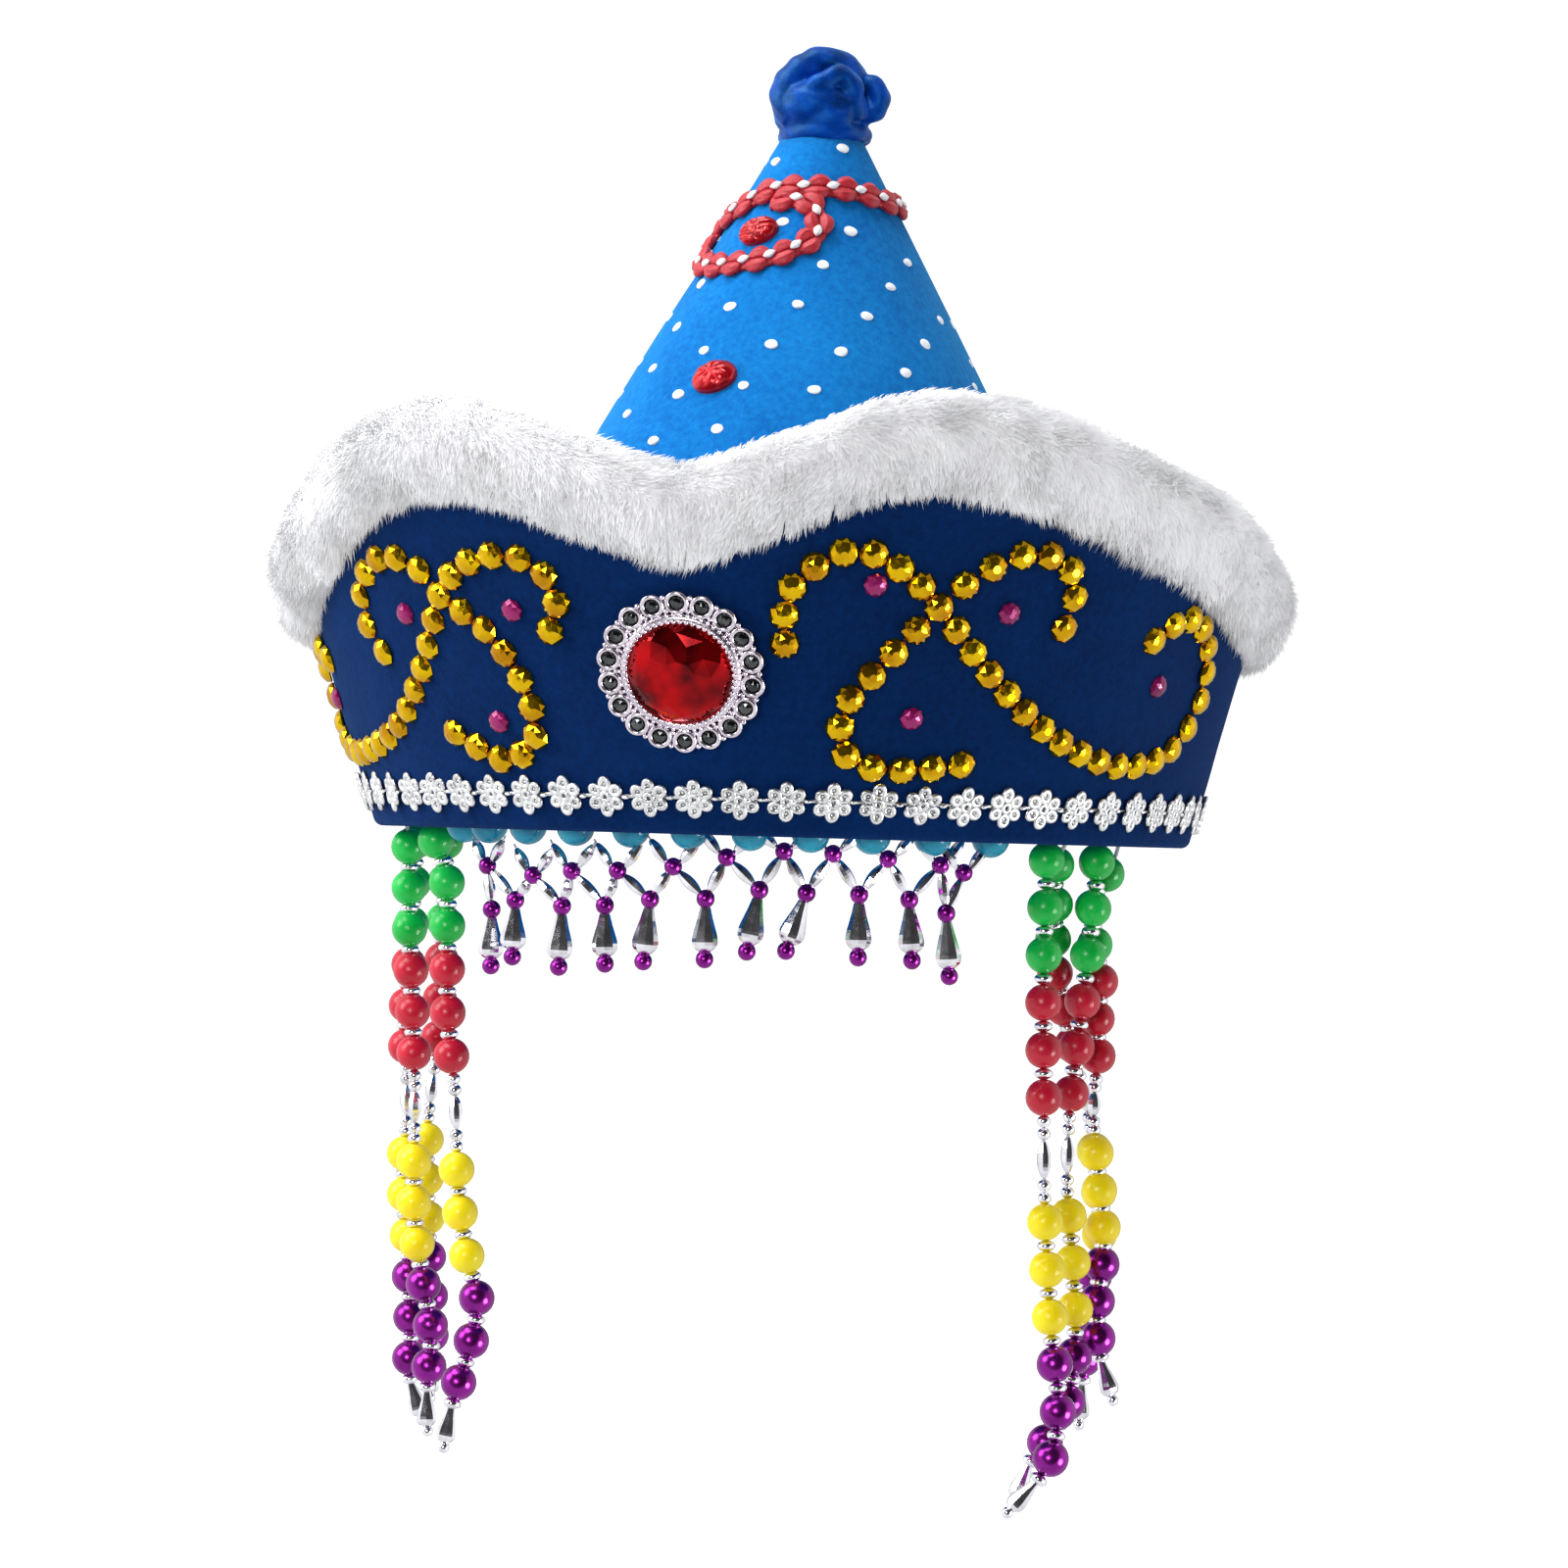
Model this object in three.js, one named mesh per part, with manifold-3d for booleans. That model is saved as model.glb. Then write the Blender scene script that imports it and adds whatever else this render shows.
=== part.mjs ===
// Dance hat: a felt cone inside a flared felt band with a fur-covered scalloped edge,
// a cloth knot on top, stones and braid sewn on, a bead fringe and eight bead strings.
// Millimetres, +Z up, the wearer faces -Y. The origin is the centre of the head opening.
// Angles round the hat are in degrees from the front, positive towards +X.

import * as THREE from 'three';
import { mergeVertices } from 'three/addons/utils/BufferGeometryUtils.js';
import Module from 'manifold-3d';

const wasm = await Module();
wasm.setup();

const GAP = 0.3;

// Flared felt band: half width and half depth of its rim, wall, and slope at front and back
const RIM = { x: 91.5, y: 97.5 };
const BAND_WALL = 3;
const FLARE_MEAN = 16;
const FLARE_SWING = 7;
const BAND_STEPS = 52;

// Height of the band's felt edge, on the wearer's two sides
const TOP_EDGE = [
  { at: 0, left: 65.8, right: 65.8 },
  { at: 12, left: 73.5, right: 73.5 },
  { at: 20, left: 78.6, right: 80.0 },
  { at: 28, left: 79.0, right: 81.4 },
  { at: 37, left: 74.6, right: 78.8 },
  { at: 48, left: 64.8, right: 72.4 },
  { at: 62, left: 55.6, right: 66.0 },
  { at: 80, left: 51.2, right: 56.0 },
  { at: 105, left: 52.0, right: 52.6 },
  { at: 140, left: 60.0, right: 60.0 },
  { at: 180, left: 67.0, right: 67.0 },
];

// Fur roll over the felt edge: section points, out from the wall and up along it
const FUR_SECTION = [
  { out: 1.8, up: -11.6 },
  { out: 7.8, up: -8.4 },
  { out: 9.8, up: 0.4 },
  { out: 6.4, up: 8.8 },
  { out: -0.8, up: 12 },
  { out: -8, up: 6.6 },
  { out: -8.8, up: -5.2 },
  { out: -1.8, up: -11 },
  { out: -1.8, up: GAP },
  { out: 1.8, up: GAP },
];
const FUR_SKIN_POINTS = 7;
const FUR_LOCK = 0.7;

// Felt cone: half width and half depth of its collar, and how far its tip leans to the right
const COLLAR = { x: 88.1, y: 94.1, foot: 2, top: 15 };
const CONE_TOP = { radius: 10.9, z: 155 };
const CONE_WALL = 2;
const CONE_LEAN = 4.4;
const CONE_STEPS = 40;

// Braid on the cone: a ring that dips at the left, and a loop below it at the front
const BRAID = { width: 4.6, thickness: 1.3, loopGap: 0.5, z: 144.8, dip: 6.2, dipAt: -75, dipHalf: 60 };
const BRAID_RING_STEPS = 32;
const BRAID_LOOP_STEPS = 24;
const BRAID_LOOP = [
  { at: -80, z: 137.5 },
  { at: -72, z: 130.5 },
  { at: -54, z: 127.2 },
  { at: -22, z: 126.4 },
  { at: 4, z: 129 },
  { at: 20, z: 134.8 },
  { at: 14, z: 141 },
  { at: 3, z: 144.2 },
];
const CONE_STONES = [
  { name: 'crown_stone_upper', at: -22.9, z: 134.6 },
  { name: 'crown_stone_lower', at: -17.8, z: 100.4 },
];
const CONE_STONE = { halfWidth: 5, halfHeight: 4, thickness: 2.6 };

// Cloth knot on the tip: a foot, a full roll, a fold looped over it, its back and a tucked end.
// Places are from the middle of the tip, and heights from the knot's foot.
const KNOT_FOOT = CONE_TOP.z + GAP;
const KNOT_SIDES = 8;
const KNOT_BASE = { x: -0.4, topRadius: 12.2, bottomRadius: 10.4, height: 6.4, sides: 12 };
const KNOT_ROLL = { x: -1.2, y: 0, z: 9.2, halfWidth: 12.2, halfDepth: 12, halfHeight: 7.2 };
const KNOT_BACK = { x: -0.6, y: 4, z: 13.4, halfWidth: 8.4, halfDepth: 7, halfHeight: 8.4 };
const KNOT_NUB = { x: 10.4, y: -0.6, z: 11.6, halfWidth: 4.6, halfDepth: 4.6, halfHeight: 5.8 };
const KNOT_LOOP = {
  x: -1.4, y: -1.4, z: 14, radius: 5.6, thickness: 4.3, sides: 6, tipForward: 62, tipAside: -14,
};

// Medallion at the front of the band
const MEDALLION_Z = 34.2;
const MEDALLION_BEADS = 18;
const SETTING_SECTION = [
  { radius: 17.4, height: 0 },
  { radius: 17.4, height: 1.4 },
  { radius: 15.3, height: 3 },
  { radius: 12.7, height: 2.3 },
  { radius: 11.65, height: 2.9 },
  { radius: 11.65, height: 0 },
];
const SETTING_SCALLOP = 0.6;
const MEDALLION_STONE = [
  { radius: 10.9, height: 0 },
  { radius: 11.35, height: 1.6 },
  { radius: 8.8, height: 4.1 },
  { radius: 5.8, height: 5 },
];
const MEDALLION_STONE_SIDES = 12;

// Gold stone scrolls on the band, each with two strokes that cross at one stone
const GOLD_STONE = {
  radius: 3.2, thickness: 2.3, pitch: 6.7, shoulder: 0.21, jointHalf: 1.4, jointHeight: 1.1,
  rootedJoint: 0.75,
};
const RIGHT_CROSSING = { at: 27.1, z: 48.6 };
const LEFT_CROSSING = { at: -28.6, z: 49 };
const GOLD_STROKES = {
  right: [
    [{ at: 11.1, z: 40 }, { at: 11.4, z: 51 }, { at: 17.4, z: 59.4 }, { at: 23, z: 55.4 },
      RIGHT_CROSSING],
    [RIGHT_CROSSING, { at: 35.9, z: 33.5 }, { at: 46.5, z: 22.1 }, { at: 59, z: 17.3 },
      { at: 69, z: 21.5 }, { at: 72.6, z: 32 }, { at: 69, z: 45 }, { at: 62.6, z: 49.4 },
      { at: 57.3, z: 44.2 }],
    [RIGHT_CROSSING, { at: 31.2, z: 56 }, { at: 37.2, z: 60.6 }, { at: 42.6, z: 55.6 },
      { at: 42.7, z: 45.6 }],
    [RIGHT_CROSSING, { at: 22.5, z: 37.8 }, { at: 18, z: 26 }, { at: 19.4, z: 16.8 },
      { at: 26, z: 14.8 }, { at: 33.6, z: 16.4 }],
  ],
  left: [
    [{ at: -14.7, z: 41.8 }, { at: -13.3, z: 49 }, { at: -15.5, z: 55.4 }, { at: -21, z: 57 },
      { at: -26, z: 53.2 }, LEFT_CROSSING],
    [LEFT_CROSSING, { at: -35.9, z: 32.1 }, { at: -44, z: 21.8 }, { at: -56, z: 16.6 },
      { at: -67, z: 17.4 }, { at: -73.5, z: 24 }, { at: -73, z: 34 }, { at: -67.5, z: 39.5 },
      { at: -62.8, z: 36.6 }],
    [LEFT_CROSSING, { at: -30.4, z: 54 }, { at: -36, z: 57.3 }, { at: -42.2, z: 51.5 },
      { at: -43.8, z: 44.7 }, { at: -41.8, z: 37.4 }],
    [LEFT_CROSSING, { at: -22.8, z: 41 }, { at: -19.4, z: 29 }, { at: -19.6, z: 19.5 },
      { at: -24.7, z: 14.8 }, { at: -32.2, z: 20.4 }],
  ],
};
const MAGENTA_STONES = {
  right: [{ at: 20.5, z: 52.6 }, { at: 26.5, z: 25.6 }, { at: 35.9, z: 48 }, { at: 61.4, z: 34.7 }],
  left: [{ at: -19.4, z: 45.9 }, { at: -24.7, z: 22.8 }, { at: -35.7, z: 45.3 }, { at: -66.5, z: 28 }],
};
const MAGENTA_STONE = { radius: 2.2, thickness: 1.6 };
const FACETS = 8;
const TABLE_SHARE = 0.55;

// Flower tape round the foot of the band
const TAPE = { z: 7.7, width: 6, thickness: 0.8 };

// Front fringe: big beads just inside the rim, and the drops that hang below them
const FRINGE = { x: 81.5, y: 87.5, z: 0.9 };
const FRINGE_BEADS = [-46, -39, -30, -20.7, -11.2, -2, 7.2, 16.2, 25.4, 35, 45];
const FRINGE_BEAD_RADIUS = 4.1;
const FRINGE_BEAD_SIDES = 8;
const FRINGE_DROPS = [
  { at: -37.8, bead: -17.4, end: -31.5 },
  { at: -32, bead: -15.2, end: -29.3 },
  { at: -23, bead: -16.1, end: -31 },
  { at: -15.4, bead: -15.6, end: -29.9 },
  { at: -8, bead: -14, end: -29.1 },
  { at: 0.8, bead: -13.5, end: -28.2 },
  { at: 8.7, bead: -11.3, end: -26.3 },
  { at: 16, bead: -11.7, end: -25.9 },
  { at: 24, bead: -11.7, end: -26.9 },
  { at: 31.5, bead: -12.5, end: -27.3 },
  { at: 38, bead: -15.2, end: -30.5 },
];
const DROP = { radius: 2.8, widestShare: 0.62, tipRadius: 1.3, sides: 8 };
const THREAD_RADIUS = 0.6;

// Bead strings: stem sewn up the inside wall, and the middle line that each string hangs on
const STRING = {
  bead: 4, beadFlat: 0.4, neck: 1.7, pitch: 10.3, silver: 27, drop: 11.5, stemTop: 7, sides: 9,
};
const STEM = { x: 85, y: 91 };
const STRING_GROUPS = ['green', 'red', 'yellow', 'purple'];
const BEADS_PER_GROUP = 3;

// Radii along the silver beads in the middle of a string, and along the drop at its end
const SILVER_SECTION = [
  { share: 0.22, radius: 1 },
  { share: 0.5, radius: 1.9 },
  { share: 0.78, radius: 1 },
  { share: 1, radius: 1.7 },
];
const STRING_TIP = [
  { share: 0.5, radius: 2.1 },
  { share: 0.75, radius: 0.8 },
  { share: 0.92, radius: 1.6 },
];
const FRONT_STRINGS = [
  { name: 'bead_string_right_1', sewnAt: 53.5, line: [[68.4, -51.7, -3.4], [68.3, -51.7, -24],
    [69.2, -51.5, -56], [70, -51.4, -78], [72, -51, -104], [74, -50.7, -121], [72.4, -51.2, -133],
    [63, -53.4, -145]] },
  { name: 'bead_string_right_2', sewnAt: 64.4, line: [[77.2, -37.3, -3.5], [75.7, -37, -25],
    [72.6, -35.6, -57], [72.5, -35.5, -75], [74.5, -35.3, -95], [75, -35.2, -111], [73, -35.6, -124],
    [66, -37, -135], [62.5, -37.6, -145]] },
  { name: 'bead_string_left_1', sewnAt: -70.5, line: [[-80, -27.7, -3], [-79.3, -27.4, -22],
    [-78, -27.2, -42], [-77, -27, -60], [-76.3, -26.8, -88], [-74, -26.4, -102], [-71.8, -26, -114],
    [-72.4, -26.1, -125], [-72, -26, -137]] },
  { name: 'bead_string_left_2', sewnAt: -55.5, line: [[-68, -49.3, -3], [-65.4, -48.7, -12],
    [-65, -48.5, -24], [-64.4, -48.4, -41], [-62.2, -48, -60], [-61.2, -47.8, -79], [-59, -47.4, -93],
    [-56.2, -46.8, -105], [-58, -47.2, -116], [-60.8, -47.7, -126], [-62.8, -48, -138]] },
];
const REAR_STRINGS = [
  { name: 'bead_string_right_3', sewnAt: 58.6, line: [[69, -42.2, -4.4], [68.4, -38, -15],
    [67.2, -30.4, -25.4], [68.6, -24, -35], [70.6, -19.2, -45], [73.8, -16, -59.4],
    [76.4, -15.6, -74], [77, -15.6, -88], [75, -15.8, -104], [73.6, -16, -129.5]] },
  { name: 'bead_string_right_4', sewnAt: 72, line: [[79.6, -27.1, -3], [75.7, -28.7, -11],
    [75.6, -28.6, -19], [77.4, -28.1, -29], [76.9, -28.2, -38], [77.3, -27.9, -47],
    [76.6, -28.1, -57], [77.7, -27.7, -69.4], [79.6, -27.2, -87], [78.6, -27.3, -100],
    [79.5, -27, -111.5], [83, -26.1, -122.7]] },
  { name: 'bead_string_left_3', sewnAt: -87, line: [[-84.4, -4.8, -3.5], [-85, -4.8, -26],
    [-85.6, -4.8, -46], [-84.8, -4.5, -62], [-85.1, -4.3, -80], [-83.6, -3.9, -98],
    [-82.6, -3.6, -114], [-82.4, -3.5, -126], [-79, -2.5, -137]] },
  { name: 'bead_string_left_4', sewnAt: -102, line: [[-83, 17.6, -3.5], [-83, 17.7, -49],
    [-83.8, 17.7, -72], [-82.4, 18.2, -96], [-81.6, 18.6, -114], [-81.9, 18.7, -134]] },
];
const TUBE = { radius: 3.4, sides: 8, step: 36, shoulder: 1, tipLength: 12, tipRadius: 1 };

const COLORS = {
  band: 0x0a3f8c,
  cone: 0x1f86dc,
  fur: 0xf4f4f6,
  knot: 0x1560c8,
  braid: 0xd83a4a,
  ruby: 0xb01020,
  silver: 0xc8cbd0,
  gold: 0xd8a818,
  magenta: 0xa0186a,
  teal: 0x1590b4,
  green: 0x18b040,
};

const radians = THREE.MathUtils.degToRad;

function material(color, roughness, metalness) {
  return new THREE.MeshStandardMaterial({ color, roughness, metalness });
}

// Keeps positions only, joins shared corners and drops faces that have shrunk to a line
function tidy(geometry) {
  const bare = geometry.clone();
  for (const name of Object.keys(bare.attributes)) {
    if (name !== 'position') bare.deleteAttribute(name);
  }
  const merged = mergeVertices(bare, 1e-4);
  const index = merged.index.array;
  const kept = [];
  for (let i = 0; i < index.length; i += 3) {
    const [a, b, c] = [index[i], index[i + 1], index[i + 2]];
    if (a !== b && b !== c && c !== a) kept.push(a, b, c);
  }
  merged.setIndex(kept);
  merged.computeVertexNormals();
  return merged;
}

function toSolid(geometry) {
  const merged = tidy(geometry);
  return new wasm.Manifold(new wasm.Mesh({
    numProp: 3,
    vertProperties: new Float32Array(merged.attributes.position.array),
    triVerts: new Uint32Array(merged.index.array),
  }));
}

function toGeometry(solid) {
  const mesh = solid.getMesh();
  const geometry = new THREE.BufferGeometry();
  geometry.setAttribute('position', new THREE.BufferAttribute(mesh.vertProperties, 3));
  geometry.setIndex(new THREE.BufferAttribute(mesh.triVerts, 1));
  geometry.computeVertexNormals();
  return geometry;
}

function fuse(geometries) {
  const solids = geometries.map(toSolid);
  const whole = solids.reduce((sum, solid) => sum.add(solid));
  return toGeometry(whole);
}

// Smooth curve through the rows of a table, level at both ends
function smoothRow(rows, key, x) {
  let i = 0;
  while (i < rows.length - 2 && rows[i + 1].at < x) i += 1;
  const slope = (k) => {
    if (k === 0 || k === rows.length - 1) return 0;
    return (rows[k + 1][key] - rows[k - 1][key]) / (rows[k + 1].at - rows[k - 1].at);
  };
  const span = rows[i + 1].at - rows[i].at;
  const t = (x - rows[i].at) / span;
  const rise = t * t * (3 - 2 * t);
  const startPull = t * (1 - t) * (1 - t) * span * slope(i);
  const endPull = t * t * (t - 1) * span * slope(i + 1);
  return rows[i][key] * (1 - rise) + rows[i + 1][key] * rise + startPull + endPull;
}

function onEllipse(halfWidth, halfDepth, degrees, z = 0) {
  const t = radians(degrees);
  return new THREE.Vector3(halfWidth * Math.sin(t), -halfDepth * Math.cos(t), z);
}

// Directions on the band at an angle: level outward, along the slope, and square to the wall
function bandFrame(degrees) {
  const t = radians(degrees);
  const level = new THREE.Vector3(Math.sin(t) / RIM.x, -Math.cos(t) / RIM.y, 0).normalize();
  const slope = radians(FLARE_MEAN + FLARE_SWING * Math.cos(t));
  const up = level.clone().multiplyScalar(Math.sin(slope)).setZ(Math.cos(slope));
  const out = level.clone().multiplyScalar(Math.cos(slope)).setZ(-Math.sin(slope));
  return { level, slope, up, out };
}

// Point at a height on the band's outer face, moved out square to the wall
function onBand(degrees, z, outward = 0) {
  const frame = bandFrame(degrees);
  return onEllipse(RIM.x, RIM.y, degrees, z)
    .addScaledVector(frame.level, z * Math.tan(frame.slope))
    .addScaledVector(frame.out, outward);
}

function topEdge(degrees) {
  const side = degrees < 0 ? 'left' : 'right';
  return smoothRow(TOP_EDGE, side, Math.abs(degrees));
}

function coneShare(z) {
  return (z - COLLAR.top) / (CONE_TOP.z - COLLAR.top);
}

// Point on the felt cone's outer face, moved out level
function onCone(degrees, z, outward = 0) {
  const share = coneShare(Math.max(z, COLLAR.top));
  const halfWidth = THREE.MathUtils.lerp(COLLAR.x, CONE_TOP.radius, share) + outward;
  const halfDepth = THREE.MathUtils.lerp(COLLAR.y, CONE_TOP.radius, share) + outward;
  const point = onEllipse(halfWidth, halfDepth, degrees, z);
  point.x += CONE_LEAN * share;
  return point;
}

function coneNormal(degrees, z) {
  const along = onCone(degrees + 0.5, z).sub(onCone(degrees - 0.5, z));
  const up = onCone(degrees, z + 0.5).sub(onCone(degrees, z - 0.5));
  return along.cross(up).normalize();
}

// Closed ring: place gives the point for a turn in degrees and a corner of the section,
// whose corners run from the outside over the top to the inside
function ring(corners, steps, place) {
  const geometry = new THREE.TorusGeometry(2, 1, corners, steps);
  const { position, uv } = geometry.attributes;
  for (let i = 0; i < position.count; i += 1) {
    const step = Math.round(uv.getX(i) * steps) % steps;
    const corner = Math.round(uv.getY(i) * corners) % corners;
    const point = place((step / steps) * 360 - 180, corner, step);
    position.setXYZ(i, point.x, point.y, point.z);
  }
  return tidy(geometry);
}

// Strip along a path: place gives the point for a share of the length, across and out
function strip(steps, place) {
  const geometry = new THREE.BoxGeometry(1, 1, 1, steps, 1, 1);
  const { position } = geometry.attributes;
  for (let i = 0; i < position.count; i += 1) {
    const point = place(position.getX(i) + 0.5, position.getY(i), position.getZ(i) + 0.5);
    position.setXYZ(i, point.x, point.y, point.z);
  }
  return tidy(geometry);
}

// Turned body laid along a curve: profile rows give the radius at a length from its start
function turned(profile, sides, curve) {
  const length = curve.getLength();
  const first = profile[0].s;
  const last = profile[profile.length - 1].s;
  const points = profile.map((row) => new THREE.Vector2(row.radius, row.s));
  const closed = [new THREE.Vector2(0, first), ...points, new THREE.Vector2(0, last)];
  const geometry = new THREE.LatheGeometry(closed, sides);
  const { position } = geometry.attributes;
  for (let i = 0; i < position.count; i += 1) {
    const share = THREE.MathUtils.clamp(position.getY(i) / length, 0, 1);
    const tangent = curve.getTangentAt(share);
    const side = new THREE.Vector3(0, 1, 0).cross(tangent).normalize();
    const front = side.clone().cross(tangent);
    const point = curve.getPointAt(share)
      .addScaledVector(side, position.getX(i))
      .addScaledVector(front, position.getZ(i));
    position.setXYZ(i, point.x, point.y, point.z);
  }
  return tidy(geometry);
}

// Flat-backed cut stone with a table, lying on the XY plane with its flats along X
function cutStone(halfWidth, halfHeight, thickness) {
  const outline = new THREE.Shape();
  for (let i = 0; i < FACETS; i += 1) {
    const t = ((i + 0.5) / FACETS) * 2 * Math.PI;
    const corner = [halfWidth * Math.cos(t), halfHeight * Math.sin(t)];
    if (i === 0) outline.moveTo(...corner);
    else outline.lineTo(...corner);
  }
  outline.closePath();
  const geometry = new THREE.ExtrudeGeometry(outline, { depth: thickness, bevelEnabled: false });
  const { position } = geometry.attributes;
  for (let i = 0; i < position.count; i += 1) {
    const share = position.getZ(i) > thickness / 2 ? TABLE_SHARE : 1;
    position.setXYZ(i, position.getX(i) * share, position.getY(i) * share, position.getZ(i));
  }
  return tidy(geometry);
}

// Turns a piece made on the XY plane so that its Z is the outward direction
function seated(geometry, point, along, out) {
  const across = out.clone().cross(along).normalize();
  const straight = across.clone().cross(out).normalize();
  const matrix = new THREE.Matrix4().makeBasis(straight, across, out);
  matrix.setPosition(point);
  return geometry.applyMatrix4(matrix);
}

function brimBand() {
  return ring(4, BAND_STEPS, (degrees, corner) => {
    const isTop = corner === 1 || corner === 2;
    const isInside = corner > 1;
    const z = isTop ? topEdge(degrees) : 0;
    const point = onBand(degrees, z);
    if (isInside) point.addScaledVector(bandFrame(degrees).level, -BAND_WALL);
    return point;
  });
}

function furTrim() {
  return ring(FUR_SECTION.length, BAND_STEPS, (degrees, corner, step) => {
    const row = FUR_SECTION[corner];
    const frame = bandFrame(degrees);
    const isSkin = corner > 0 && corner < FUR_SKIN_POINTS;
    const lock = isSkin ? FUR_LOCK * (((step + corner) % 2) * 2 - 1) : 0;
    const reach = 1 + lock / Math.hypot(row.out, row.up);
    const level = row.out * reach - BAND_WALL / 2;
    return onBand(degrees, topEdge(degrees))
      .addScaledVector(frame.out, level)
      .addScaledVector(frame.up, row.up * reach);
  });
}

function crown() {
  const heights = [COLLAR.foot, COLLAR.top, CONE_TOP.z];
  return ring(2 * heights.length, CONE_STEPS, (degrees, corner) => {
    const isInside = corner >= heights.length;
    const level = isInside ? 2 * heights.length - 1 - corner : corner;
    return onCone(degrees, heights[level], isInside ? -CONE_WALL : 0);
  });
}

function ball({ x, y, z, halfWidth, halfDepth, halfHeight }) {
  const geometry = new THREE.SphereGeometry(1, KNOT_SIDES, KNOT_SIDES / 2);
  return geometry.rotateX(Math.PI / 2).scale(halfWidth, halfDepth, halfHeight).translate(x, y, z);
}

function topKnot() {
  const { topRadius, bottomRadius, height, sides } = KNOT_BASE;
  const foot = new THREE.CylinderGeometry(topRadius, bottomRadius, height, sides);
  foot.rotateX(Math.PI / 2).translate(KNOT_BASE.x, 0, height / 2);
  const loop = new THREE.TorusGeometry(
    KNOT_LOOP.radius, KNOT_LOOP.thickness, KNOT_LOOP.sides, KNOT_SIDES);
  loop.rotateX(radians(KNOT_LOOP.tipForward)).rotateY(radians(KNOT_LOOP.tipAside));
  loop.translate(KNOT_LOOP.x, KNOT_LOOP.y, KNOT_LOOP.z);
  const knot = fuse([foot, ball(KNOT_ROLL), loop, ball(KNOT_BACK), ball(KNOT_NUB)]);
  return knot.translate(onCone(0, CONE_TOP.z).x, 0, KNOT_FOOT);
}

function braidRingHeight(degrees) {
  const away = Math.abs(degrees - BRAID.dipAt) / BRAID.dipHalf;
  if (away >= 1) return BRAID.z;
  return BRAID.z - BRAID.dip * Math.cos((away * Math.PI) / 2) ** 2;
}

function crownBraid() {
  const half = BRAID.width / 2;
  const band = ring(4, BRAID_RING_STEPS, (degrees, corner) => {
    const isTop = corner === 1 || corner === 2;
    const outward = GAP + (corner < 2 ? BRAID.thickness : 0);
    return onCone(degrees, braidRingHeight(degrees) + (isTop ? half : -half), outward);
  });
  const rows = BRAID_LOOP.map((row) => new THREE.Vector3(row.at, row.z, 0));
  const path = new THREE.CatmullRomCurve3(rows);
  const loop = strip(BRAID_LOOP_STEPS, (share, across, out) => {
    const row = path.getPoint(share);
    const middle = onCone(row.x, row.y);
    const ahead = path.getPoint(Math.min(share + 0.01, 1));
    const behind = path.getPoint(Math.max(share - 0.01, 0));
    const along = onCone(ahead.x, ahead.y).sub(onCone(behind.x, behind.y)).normalize();
    const normal = coneNormal(row.x, row.y);
    const sideways = normal.clone().cross(along).normalize();
    return middle
      .addScaledVector(sideways, across * BRAID.width)
      .addScaledVector(normal, BRAID.loopGap + out * BRAID.thickness);
  });
  return fuse([band, loop]);
}

function coneStone({ at, z }) {
  const normal = coneNormal(at, z);
  const along = onCone(at + 1, z).sub(onCone(at - 1, z)).normalize();
  const stone = cutStone(CONE_STONE.halfWidth, CONE_STONE.halfHeight, CONE_STONE.thickness);
  return seated(stone, onCone(at, z).addScaledVector(normal, GAP), along, normal);
}

function medallionPlace(geometry) {
  const frame = bandFrame(0);
  return seated(geometry, onBand(0, MEDALLION_Z, GAP), new THREE.Vector3(1, 0, 0), frame.out);
}

function medallionSetting() {
  const steps = 2 * MEDALLION_BEADS;
  const geometry = ring(SETTING_SECTION.length, steps, (degrees, corner, step) => {
    const row = SETTING_SECTION[corner];
    const isScalloped = row.radius > SETTING_SECTION[3].radius;
    const swell = isScalloped ? SETTING_SCALLOP * ((step % 2) * 2 - 1) : 0;
    const point = onEllipse(row.radius + swell, row.radius + swell, degrees, row.height);
    if (row.radius === SETTING_SECTION[2].radius) point.z += swell;
    return point;
  });
  return medallionPlace(geometry);
}

function medallionStone() {
  const rows = MEDALLION_STONE.map((row) => new THREE.Vector2(row.radius, row.height));
  const top = MEDALLION_STONE[MEDALLION_STONE.length - 1].height;
  const profile = [new THREE.Vector2(0, 0), ...rows, new THREE.Vector2(0, top)];
  const geometry = new THREE.LatheGeometry(profile, MEDALLION_STONE_SIDES);
  return medallionPlace(tidy(geometry.rotateX(Math.PI / 2)));
}

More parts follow.
